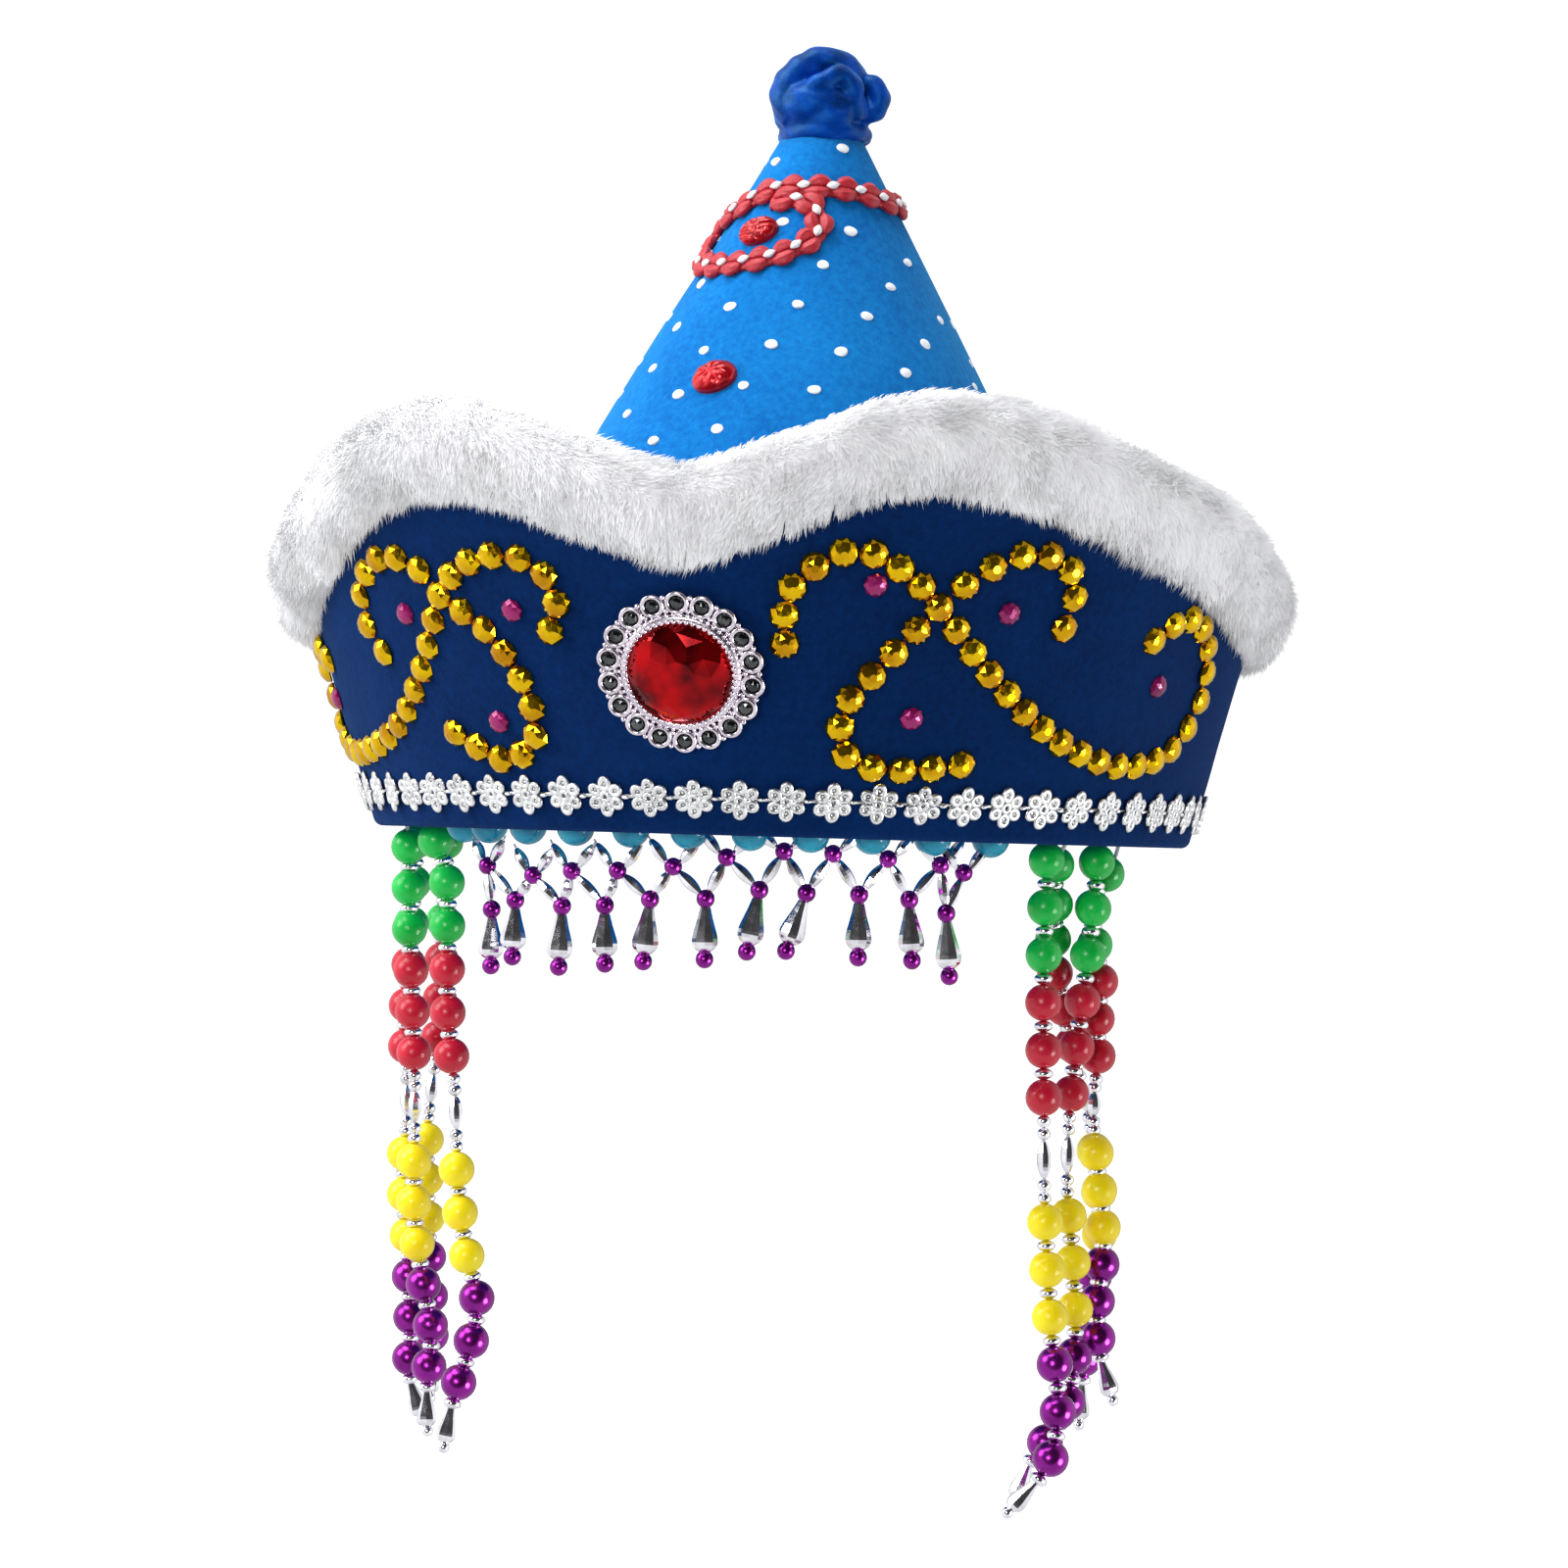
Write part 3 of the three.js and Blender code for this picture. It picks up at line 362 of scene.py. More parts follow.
def soft_noise(grid, u, v):
    """Smooth value noise: u and v run from 0 to 1 and both repeat."""
    rows, columns = grid.shape[:2]
    x, y = (u % 1) * rows, (v % 1) * columns
    i, j = np.floor(x).astype(int), np.floor(y).astype(int)
    fx, fy = (x - i)[..., None], (y - j)[..., None]
    fx, fy = fx * fx * (3 - 2 * fx), fy * fy * (3 - 2 * fy)
    i, j = i % rows, j % columns
    i2, j2 = (i + 1) % rows, (j + 1) % columns
    low = grid[i, j] * (1 - fx) + grid[i2, j] * fx
    high = grid[i, j2] * (1 - fx) + grid[i2, j2] * fx
    return low * (1 - fy) + high * fy


# Mesh building

class Shape:
    """Points and faces gathered for one piece."""

    def __init__(self):
        self.points = []
        self.loops = []
        self.sizes = []
        self.count = 0

    def add(self, points, *face_groups):
        points = as_array(points).reshape(-1, 3)
        for faces in face_groups:
            faces = np.asarray(faces, int)
            if len(faces) == 0:
                continue
            self.loops.append((faces + self.count).ravel())
            self.sizes.append(np.full(len(faces), faces.shape[1]))
        self.points.append(points)
        self.count += len(points)
        return self

    def put(self, body, middle, axes, size=(1, 1, 1)):
        """Add a body, which is points and then its groups of faces, at its place."""
        points, *faces = body
        return self.add(placed(points, middle, axes, size), *faces)

    def mesh(self, name, smooth=True, normals=None):
        points = np.vstack(self.points) * MM
        loops = np.concatenate(self.loops)
        sizes = np.concatenate(self.sizes)
        starts = np.concatenate([[0], np.cumsum(sizes)[:-1]])
        mesh = bpy.data.meshes.new(name)
        mesh.vertices.add(len(points))
        mesh.vertices.foreach_set("co", points.astype(np.float32).ravel())
        mesh.loops.add(len(loops))
        mesh.loops.foreach_set("vertex_index", loops.astype(np.int32))
        mesh.polygons.add(len(sizes))
        mesh.polygons.foreach_set("loop_start", starts.astype(np.int32))
        mesh.polygons.foreach_set("use_smooth", np.full(len(sizes), smooth))
        mesh.update(calc_edges=True)
        mesh.validate()
        if normals is not None:
            mesh.normals_split_custom_set_from_vertices(normals)
        return mesh


def link_object(name, data):
    made = bpy.data.objects.new(name, data)
    bpy.context.scene.collection.objects.link(made)
    return made


def add_mesh(name, mesh, look, replaced=()):
    piece = link_object(name, mesh)
    mesh.materials.clear()
    mesh.materials.append(LOOKS[look])
    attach(piece, "root")
    if replaced:
        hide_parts(*replaced)


def add_piece(name, shape, look, replaced=(), smooth=True):
    add_mesh(name, shape.mesh(name, smooth), look, replaced)


def grid_faces(rows, columns, wrap_rows=False, wrap_columns=True):
    """Quads over points laid out row by row."""
    i = np.arange(rows if wrap_rows else rows - 1)[:, None]
    j = np.arange(columns if wrap_columns else columns - 1)[None, :]
    i2, j2 = (i + 1) % rows, (j + 1) % columns
    corners = [i * columns + j, i * columns + j2, i2 * columns + j2, i2 * columns + j]
    return np.stack([c + 0 * (i + j) for c in corners], -1).reshape(-1, 4)


def end_faces(rows, sides):
    """Triangles over the first and last rows, to two points that come after all the rows."""
    j = np.arange(sides)
    after = (j + 1) % sides
    n = rows * sides
    first = np.stack([after, j, 0 * j + n], -1)
    last = np.stack([n - sides + j, n - sides + after, 0 * j + n + 1], -1)
    return np.vstack([first, last])


def turned(profile, sides):
    """Turned body about Z: rows of radius and height from its foot to its top."""
    radius, height = as_array(profile).T
    t = circle(sides)
    points = oval(radius[:, None], radius[:, None], t[None], height[:, None]).reshape(-1, 3)
    points = np.vstack([points, [[0, 0, height[0]], [0, 0, height[-1]]]])
    return points, grid_faces(len(radius), sides), end_faces(len(radius), sides)


def ball_profile(radius, rows, hole=0.12):
    t = np.linspace(-np.pi / 2 + hole, np.pi / 2 - hole, rows)
    return np.stack([radius * np.cos(t), radius * np.sin(t)], -1)


def ring_shape(radius, thickness, steps, sides, squash=1.0, reach=1.0):
    """Round-section ring about Z, stretched to reach times its radius along X."""
    a = circle(steps)[:, None]
    b = circle(sides)[None, :]
    r = radius + thickness * np.cos(b)
    points = np.stack([r * np.cos(a) * reach, r * np.sin(a), thickness * squash * np.sin(b) + 0 * a], -1)
    return points.reshape(-1, 3), grid_faces(steps, sides, wrap_rows=True)


def basis(out, along=None):
    """Columns X, Y, Z with Z outward and X as near as can be to along."""
    out = unit(as_array(out))
    if along is None:
        along = np.array([1.0, 0, 0]) if abs(out[0]) < 0.8 else np.array([0, 1.0, 0])
    side = unit(np.cross(out, along))
    return np.stack([np.cross(side, out), side, out], -1)


def turn_z(angle):
    return np.array(Matrix.Rotation(angle, 3, "Z"))


def placed(points, middle, axes, size=(1, 1, 1)):
    return (as_array(points) * as_array(size)) @ axes.T + as_array(middle)


def tube(shape, points, radii, sides):
    """Round tube along points, with a radius for each and closed ends."""
    points = as_array(points)
    radii = as_array(radii) + np.zeros(len(points))
    ahead = unit(np.gradient(points, axis=0))
    side = np.cross(ahead, UP)
    weak = np.linalg.norm(side, axis=1) < 0.2
    side[weak] = np.cross(ahead[weak], np.array([0, 1.0, 0]))
    side = unit(side)
    for i in range(1, len(side)):
        kept = side[i - 1] - ahead[i] * np.dot(side[i - 1], ahead[i])
        side[i] = kept / max(np.linalg.norm(kept), 1e-9)
    front = np.cross(side, ahead)
    t = circle(sides)[None, :, None]
    rows = points[:, None] + radii[:, None, None] * (side[:, None] * np.cos(t) + front[:, None] * np.sin(t))
    ends = np.vstack([rows.reshape(-1, 3), points[:1], points[-1:]])
    return shape.add(ends, grid_faces(len(points), sides), end_faces(len(points), sides))


def cut_stone(sides, rows):
    """Flat-backed cut stone of unit radius: rows of radius, height and turn from girdle to table."""
    points = []
    for radius, height, turn in rows:
        t = (np.arange(sides) + turn) * 2 * np.pi / sides
        points.append(oval(radius, radius, t, height))
    points = np.vstack(points + [[[0, 0, rows[-1][1]]]])
    j = np.arange(sides)
    after = (j + 1) % sides
    faces = []
    for k in range(len(rows) - 1):
        low, high = k * sides, (k + 1) * sides
        corners = low + j, low + after, high + after, high + j
        halves = ((0, 1, 3), (1, 2, 3)) if rows[k + 1][2] > rows[k][2] else ((0, 1, 2), (0, 2, 3))
        faces += [np.stack([corners[c] for c in half], -1) for half in halves]
    top = (len(rows) - 1) * sides
    faces.append(np.stack([top + j, top + after, 0 * j + len(rows) * sides], -1))
    return points, np.vstack(faces)


# Materials

def new_look(name, settings):
    """Material, its node tree and its shader, with plain values on the shader's own sockets."""
    look = bpy.data.materials.new(name)
    look.use_nodes = True
    shader = look.node_tree.nodes["Principled BSDF"]
    for key, value in settings.items():
        shader.inputs[key].default_value = value
    return look, look.node_tree, shader


def node(tree, kind, **values):
    made = tree.nodes.new(kind)
    for key, value in values.items():
        if key in made.inputs:
            made.inputs[key].default_value = value
        else:
            setattr(made, key, value)
    return made


def object_noise(tree, scale, detail=3.0, roughness=0.6, stretch=(1, 1, 1)):
    place = node(tree, "ShaderNodeTexCoord")
    mapping = node(tree, "ShaderNodeMapping", Scale=stretch)
    noise = node(tree, "ShaderNodeTexNoise", Scale=scale, Detail=detail, Roughness=roughness)
    tree.links.new(place.outputs["Object"], mapping.inputs["Vector"])
    tree.links.new(mapping.outputs["Vector"], noise.inputs["Vector"])
    return noise.outputs["Fac"]


def mixed(tree, first, second, share):
    tone = node(tree, "ShaderNodeMix", Factor=share)
    tree.links.new(first, tone.inputs["A"])
    tree.links.new(second, tone.inputs["B"])
    return tone.outputs["Result"]


def colour_between(tree, shader, source, dark, light):
    """Surface colour that runs from dark to light, each with its position on the source."""
    ramp = node(tree, "ShaderNodeValToRGB")
    for element, (position, colour) in zip(ramp.color_ramp.elements, (dark, light)):
        element.position = position
        element.color = (*colour, 1)
    tree.links.new(source, ramp.inputs["Fac"])
    tree.links.new(ramp.outputs["Color"], shader.inputs["Base Color"])


def uneven_roughness(tree, shader, source, low, high):
    remap = node(tree, "ShaderNodeMapRange",
                 **{"From Min": 0.25, "From Max": 0.75, "To Min": low, "To Max": high})
    tree.links.new(source, remap.inputs["Value"])
    tree.links.new(remap.outputs["Result"], shader.inputs["Roughness"])


def bump(tree, shader, height, strength, distance, below=None):
    made = node(tree, "ShaderNodeBump", Strength=strength, Distance=distance)
    tree.links.new(height, made.inputs["Height"])
    if below is not None:
        tree.links.new(below.outputs["Normal"], made.inputs["Normal"])
    tree.links.new(made.outputs["Normal"], shader.inputs["Normal"])
    return made


def linear(red, green, blue):
    """Screen colour from 0 to 255 as linear light."""
    return tuple((v / 255 / 12.92) if v <= 10 else ((v / 255 + 0.055) / 1.055) ** 2.4
                 for v in (red, green, blue))


def felt_look(name, dark, light, sheen, sheen_tint, grain=1.0):
    look, tree, shader = new_look(name, {
        "Roughness": 0.95, "Specular IOR Level": 0.1, "Sheen Weight": sheen,
        "Sheen Roughness": 0.4, "Sheen Tint": (*sheen_tint, 1)})
    cloud = object_noise(tree, 30, detail=4)
    speck = object_noise(tree, 640, detail=5, roughness=0.75)
    fibre = object_noise(tree, 1900, detail=5, roughness=0.7)
    colour_between(tree, shader, mixed(tree, cloud, speck, 0.62), (0.34, dark), (0.66, light))
    low = bump(tree, shader, speck, 0.4 * grain, 0.0005)
    bump(tree, shader, fibre, 0.5 * grain, 0.0002, below=low)
    return look


def fur_look(name, shade, light):
    """White pile: its glow stands in for light that scatters between the hairs."""
    look, tree, shader = new_look(name, {
        "Roughness": 0.8, "Specular IOR Level": 0.1, "Sheen Weight": 0.15, "Sheen Roughness": 0.5,
        "Emission Color": (1, 1, 1, 1), "Emission Strength": FUR_GLOW})
    colour_between(tree, shader, object_noise(tree, 90), (0.35, shade), (0.6, light))
    return look


def velvet_look(name, dark, light):
    look, tree, shader = new_look(name, {
        "Roughness": 0.42, "Specular IOR Level": 0.5, "Specular Tint": (0.1, 0.65, 1.0, 1),
        "Sheen Weight": 0.65, "Sheen Roughness": 0.3, "Sheen Tint": (0.04, 0.5, 1.0, 1)})
    pile = object_noise(tree, 1500, detail=4)
    patch = object_noise(tree, 150)
    colour_between(tree, shader, mixed(tree, patch, pile, 0.3), (0.35, dark), (0.65, light))
    bump(tree, shader, pile, 0.5, 0.0002)
    return look


def thread_look(name, dark, light, gloss=0.5):
    look, tree, shader = new_look(name, {"Roughness": gloss, "Sheen Weight": 0.1})
    strand = object_noise(tree, 1400, stretch=(1, 1, 2.5))
    colour_between(tree, shader, strand, (0.3, dark), (0.7, light))
    bump(tree, shader, strand, 0.5, 0.0003)
    return look


def bead_look(name, dark, light, roughness=0.3, metallic=0.0):
    look, tree, shader = new_look(name, {
        "Metallic": metallic, "Specular IOR Level": 0.35, "Coat Weight": 0.1, "Coat Roughness": 0.08})
    cloud = object_noise(tree, 140)
    colour_between(tree, shader, cloud, (0.35, dark), (0.65, light))
    mark = object_noise(tree, 700, detail=4)
    uneven_roughness(tree, shader, mark, roughness * 0.85, roughness * 1.2)
    bump(tree, shader, cloud, 0.1, 0.0005)
    return look


def metal_look(name, dark, light, roughness=0.14):
    look, tree, shader = new_look(name, {"Metallic": 1.0})
    wear = object_noise(tree, 260, detail=4)
    colour_between(tree, shader, wear, (0.3, dark), (0.6, light))
    uneven_roughness(tree, shader, wear, roughness * 0.6, roughness * 1.6)
    bump(tree, shader, wear, 0.1, 0.0004)
    return look


def foil_look(name, dark, light, roughness, metallic, coat):
    """Clear plastic stone over coloured foil."""
    look, tree, shader = new_look(name, {
        "Metallic": metallic, "Coat Weight": coat, "Coat Roughness": 0.04})
    cloud = object_noise(tree, 120, detail=2)
    colour_between(tree, shader, cloud, (0.32, dark), (0.62, light))
    uneven_roughness(tree, shader, cloud, roughness * 0.8, roughness * 1.3)
    return look


# Each look: how it is made, its dark and light screen colours, and then that kind's own values
FELT_SHEEN = {"band": linear(60, 140, 235), "cone": linear(120, 225, 250)}
LOOK_ROWS = {
    "band": (felt_look, "band_felt", (0, 27, 72), (0, 44, 101), 0.14, FELT_SHEEN["band"]),
    "cone": (felt_look, "cone_felt", (2, 84, 160), (18, 127, 202), 0.24, FELT_SHEEN["cone"], 0.8),
    "dots": (thread_look, "printed_dot", (232, 238, 244), (252, 252, 252), 0.6),
    "knot": (velvet_look, "knot_velvet", (0, 28, 92), (0, 64, 176)),
    "braid": (thread_look, "red_braid", (150, 4, 24), (206, 28, 48), 0.42),
    "stitch": (thread_look, "white_stitch", (226, 222, 228), (255, 255, 255), 0.4),
    "ruby": (foil_look, "ruby_stone", (84, 0, 10), (186, 0, 8), 0.05, 0.8, 0.0),
    "oval": (foil_look, "oval_stone", (150, 8, 20), (210, 20, 30), 0.16, 0.4, 0.2),
    "silver": (metal_look, "silver_plastic", (206, 204, 210), (240, 238, 244), 0.14),
    "setting": (metal_look, "setting_plastic", (196, 186, 198), (232, 222, 232), 0.2),
    "gem": (metal_look, "gem_foil", (40, 42, 42), (92, 94, 94), 0.03),
    "gold": (foil_look, "gold_stone", (186, 126, 0), (226, 184, 0), 0.1, 0.95, 0.1),
    "magenta": (foil_look, "magenta_stone", (118, 6, 76), (160, 16, 104), 0.2, 0.3, 0.1),
    "flower": (metal_look, "flower_tape", (206, 206, 208), (244, 244, 244), 0.34),
    # Darker silver of the backing discs behind the flower petals: painted shade in the pits. The plate
    # behind the medallion setting shares it.
    "pit": (metal_look, "flower_pit", (158, 160, 164), (206, 208, 210), 0.34),
    "teal": (bead_look, "teal_bead", (0, 124, 158), (14, 160, 190), 0.25),
    "green": (bead_look, "green_bead", (4, 176, 62), (20, 200, 80)),
    "red": (bead_look, "red_bead", (184, 16, 42), (206, 26, 54)),
    "yellow": (bead_look, "yellow_bead", (255, 222, 8), (255, 236, 22)),
    "purple": (bead_look, "purple_bead", (116, 16, 118), (148, 34, 150), 0.24, 0.86),
    "thread": (thread_look, "clear_thread", (190, 190, 196), (236, 236, 240), 0.35),
}
LOOKS = {key: kind(f"{name}_look", linear(*dark), linear(*light), *values)
         for key, (kind, name, dark, light, *values) in LOOK_ROWS.items()}
LOOKS["fur"] = fur_look("white_fur_look", (0.78, 0.78, 0.81), (0.85, 0.85, 0.87))


# Pieces

def brim_band():
    """Felt band with a rounded lower edge and gentle waves in the cloth."""
    steps = 300
    degrees = full_turn(steps)
    edge = top_edge(degrees)
    waves = noise_grid(3, 26, 7)
    rows = []

    def row(share, inward, drop=0.0):
        z = edge * share
        wave = soft_noise(waves, degrees / 360 + 0.5, np.full(steps, share * 0.6))[:, 0]
        level, up, _, _ = band_frame(degrees)
        soft = 0.35 * wave * min(1.0, 4 * share * (1.2 - share))
        return on_band(degrees, z, soft) - level * inward + up * drop

    roll = BAND_WALL / 2
    for turn in np.linspace(-90, 90, 9):
        a = math.radians(turn)
        rows.append(row(0, roll + roll * math.sin(a), roll - roll * math.cos(a)))
    outer = [row(share, 0) for share in np.linspace(1, 0.03, 26)]
    inner = [row(share, BAND_WALL) for share in np.linspace(0.03, 1, 14)]
    points = np.stack(outer + rows + inner)
    shape = Shape().add(points, grid_faces(len(points), steps, wrap_rows=True)[:, ::-1])
    add_piece("felt_band", shape, "band", ["brim_band"])


def crown():
    """Felt cone with its collar, wall and slight hollows between the seams."""
    steps = 240
    degrees = full_turn(steps)
    waves = noise_grid(5, 12, 8)
    wall = np.linspace(18, CONE_TOP["z"] + 2.8, 46)
    heights = np.concatenate([[COLLAR["foot"], 8, COLLAR["top"]], wall])
    outer = []
    for z in heights:
        wave = soft_noise(waves, degrees / 360 + 0.5, np.full(steps, z / 220))[:, 0]
        outer.append(on_cone(degrees, z, 0.45 * wave * (z > COLLAR["top"]) * min(1, (160 - z) / 30)))
    inner = [on_cone(degrees, z, -CONE_WALL) for z in heights[::-1][::3]]
    points = np.stack(outer + inner)
    shape = Shape().add(points, grid_faces(len(points), steps, wrap_rows=True))
    add_piece("felt_cone", shape, "cone", ["crown"])


def cone_dots():
    """White printed dots: those in sight by their places, the rest in staggered rows."""
    rng = np.random.default_rng(21)
    places = list(CONE_DOTS)
    for row, z in enumerate(np.arange(DOT_ROWS["foot"], DOT_ROWS["top"], DOT_ROWS["rise"])):
        share = (z - COLLAR["top"]) / (CONE_TOP["z"] - COLLAR["top"])
        radius = COLLAR["x"] + (CONE_TOP["radius"] - COLLAR["x"]) * share
        spots = max(4, int(round(2 * math.pi * radius / DOT_ROWS["spacing"])))
        for k in range(spots):
            degrees = 360 * (k + 0.5 * (row % 2)) / spots - 180 + rng.uniform(-3, 3)
            seen = DOTS_SEEN["from"] <= degrees <= DOTS_SEEN["to"] and z >= DOTS_SEEN["foot"]
            if not seen:
                places.append((degrees, z + rng.uniform(-1, 1)))
    shape = Shape()
    t = circle(20)
    for degrees, z in places:
        normal = cone_normal(degrees, z)
        axes = basis(normal, np.cross(UP, normal))
        middle = on_cone(degrees, z)
        size = DOT_RADIUS * rng.uniform(0.88, 1.12)
        wobble = 1 + 0.05 * np.sin(2 * t + rng.uniform(0, 6)) + 0.03 * np.sin(3 * t + rng.uniform(0, 6))
        rim = np.stack([1.1 * size * wobble * np.cos(t), size * wobble * 0.88 * np.sin(t), 0.0 * t], -1)
        points = np.vstack([placed(rim + [0, 0, -0.6], middle, axes),
                            placed(rim + [0, 0, 0.3], middle, axes),
                            placed(rim * 0.9 + [0, 0, 0.4], middle, axes),
                            placed([[0, 0, 0.42]], middle, axes)])
        n = len(t)
        j = np.arange(n)
        cap = np.stack([2 * n + j, 2 * n + (j + 1) % n, 0 * j + 3 * n], -1)
        shape.add(points, grid_faces(3, n), cap)
    add_piece("cone_dots", shape, "dots")


def fur_place(degrees, turn):
    """Point and outward direction on the backing: turn runs round its section, 0 outward, 90 up."""
    _, up, out, _ = band_frame(degrees)
    a = np.radians(turn)
    wide = (np.cos(a) * FUR_CORE["out"])[..., None]
    tall = (np.sin(a) * FUR_CORE["up"])[..., None]
    middle = on_band(degrees, top_edge(degrees), -BAND_WALL / 2) + out * FUR_CORE["middle"]
    point = middle + out * wide + up * tall
    normal = unit(out * (np.cos(a) / FUR_CORE["out"])[..., None]
                  + up * (np.sin(a) / FUR_CORE["up"])[..., None])
    return point, normal


def fur_core():
    steps, around = 260, 18
    degrees = np.repeat(full_turn(steps), around)
    turn = np.tile(np.linspace(0, 360, around, endpoint=False), steps)
    shape = Shape().add(fur_place(degrees, turn)[0], grid_faces(steps, around, wrap_rows=True))
    add_piece("fur_backing", shape, "fur", ["fur_trim"])


def fur_tip(degrees, turn, rise, sweep, lean):
    """Root, outward direction and tip of hairs that start on the backing and are combed over it."""
    root, normal = fur_place(degrees, turn)
    level, up, out, _ = band_frame(degrees)
    around = unit(np.cross(np.broadcast_to(UP, level.shape), level))
    a = np.radians(np.maximum(turn, -8))[:, None]
    over = out * np.sin(a) - up * np.cos(a) + out * 0.18 * (turn < 20)[:, None]
    high = np.clip((turn - 5) / 60, 0, 1)[:, None]
    high = high * high * (3 - 2 * high)
    comb = unit(over) * (1 - 0.75 * high) + around * 0.85 * high
    comb = comb + around * lean[:, 1:2] + up * lean[:, 0:1] * 0.5 * (1 - 0.6 * high)
    return root, normal, root + normal * rise[:, None] + comb * sweep[:, None]


def tuft_tips(u, v, broad, fine):
    """For each hair, the tip that its tuft gathers to."""
    around, across, first = TUFTS["around"], TUFTS["across"], TUFTS["first_turn"]
    jitter = np.random.default_rng(TUFTS["seed"]).uniform(0.1, 0.9, (around, across, 2))
    i = np.floor((u % 1) * around).astype(int) % around
    j = np.floor(v * across).astype(int) % across
    tuft_u = (i + jitter[i, j, 0]) / around
    tuft_v = (j + jitter[i, j, 1]) / across
    lean = 0.5 * soft_noise(broad, tuft_u, tuft_v) + 0.6 * soft_noise(fine, tuft_u, tuft_v)[:, :2]
    turn = np.clip(tuft_v * 360 + first, *FUR_TURNS)
    n = len(turn)
    return fur_tip((tuft_u - 0.5) * 360, turn, np.full(n, 2.6), np.full(n, 2.9), lean)[2]


def fur_sheet(index):
    """One share of the hairs: fine tapered blades combed over the roll, gathered into soft tufts."""
    rng = np.random.default_rng(FUR_SEED + index)
    n = BLADES_PER_SHEET
    degrees = rng.uniform(-180, 180, n)
    turn = rng.uniform(*FUR_TURNS, n)
    broad = noise_grid(71, 30, 4, 2)
    fine = noise_grid(72, 150, 10, 3)
    u, v = degrees / 360 + 0.5, (turn - TUFTS["first_turn"]) / 360
    low = np.clip((30 - turn) / 70, 0, 1)
    guard = rng.uniform(0, 1, n) < 0.35
    lean = 0.55 * soft_noise(broad, u, v) + 0.5 * soft_noise(fine, u, v)[:, :2] + [0, -0.15]
    lean += rng.normal(0, 0.18, (n, 2))
    rise = np.where(guard, rng.uniform(1.8, 3.3, n), rng.uniform(0.9, 2.2, n))
    rise = rise * (1 - 0.3 * np.clip((turn - 30) / 50, 0, 1))
    rise = rise + 0.7 * soft_noise(fine, u, v)[:, 2] * (0.4 + low)
    sweep = rng.uniform(1.6, 3.6, n) * (1 - 0.45 * low)
    root, normal, tip = fur_tip(degrees, turn, rise, sweep, lean)
    pull = rng.uniform(0.05, 0.3, n) + 0.12 * low
    tip = tip + (tuft_tips(u, v, broad, fine) - tip) * pull[:, None]
    tip += rng.normal(0, 0.24, (n, 3)) * (1 + 0.5 * low)[:, None]

    middle = (root + tip) / 2 + normal * (0.22 * rise + 0.35)[:, None]
    crest = 1.1 * np.clip(1.3 - np.abs(turn - 85) / 50, 0, 1)
    facing = unit(normal + band_frame(degrees)[0] * crest[:, None])
    side = unit(np.cross(tip - root, facing) + rng.normal(0, 0.5, (n, 3)))
    side *= np.sign((np.cross(side, tip - root) * facing).sum(1))[:, None]
    root = root - normal * BLADE["sunk"]
    points = np.stack([root - side * BLADE["root"], root + side * BLADE["root"],
                       middle - side * BLADE["middle"], middle + side * BLADE["middle"], tip], 1)
    k = (np.arange(n) * 5)[:, None]
    shape = Shape().add(points.reshape(-1, 3), k + [0, 1, 3, 2], k + [2, 3, 4])
    clumps = (soft_noise(noise_grid(73, 84, 7, 3), u, v)
              + 0.7 * soft_noise(noise_grid(74, 190, 15, 3), u, v))
    soft = unit(facing + clumps * 0.42 + unit(tip - root) * 0.26 + rng.normal(0, 0.1, (n, 3)))
    name = f"fur_hair_{index + 1}"
    mesh = shape.mesh(name, normals=np.repeat(soft, 5, axis=0))
    add_mesh(name, mesh, "fur")


def knot_folds():
    """Wrapped foot, body, lumps and rolls of cloth that the knot is blended from."""
    shape = Shape()
    around = np.radians(np.linspace(0, 360, 49))
    foot = np.stack([8.6 * np.cos(around) + 0.3, 8.0 * np.sin(around), 1.5 + 0.4 * np.cos(around)], -1)
    tube(shape, foot, 2.1, 16)
    body = np.stack([6.4 * np.cos(around) - 0.4, 5.6 * np.sin(around), 7.0 + 0.5 * np.cos(around)], -1)
    tube(shape, body, 4.9, 20)
    for middle, size in KNOT_LUMPS:
        points, *faces = turned(ball_profile(1, 14), 24)
        shape.add(points * as_array(size) + as_array(middle), *faces)
    for rows, radii in KNOT_ROLLS:
        path = Path(rows)
        marks = np.linspace(0, path.length, 44)
        shares = np.linspace(0, 1, len(radii))
        tube(shape, path.at(marks), np.interp(marks / path.length, shares, radii), 16)
    return shape


def blended(shape, name):
    """One smooth skin over all the bodies of a shape."""
    rough = link_object("knot_rough", shape.mesh("knot_rough"))
    remesh = rough.modifiers.new("remesh", "REMESH")
    remesh.mode = "VOXEL"
    remesh.voxel_size = KNOT_VOXEL
    smooth = rough.modifiers.new("smooth", "SMOOTH")
    smooth.factor = 0.5
    smooth.iterations = 3
    mesh = bpy.data.meshes.new_from_object(
        rough.evaluated_get(bpy.context.evaluated_depsgraph_get()))
    bpy.data.objects.remove(rough)
    mesh.name = name
    return mesh


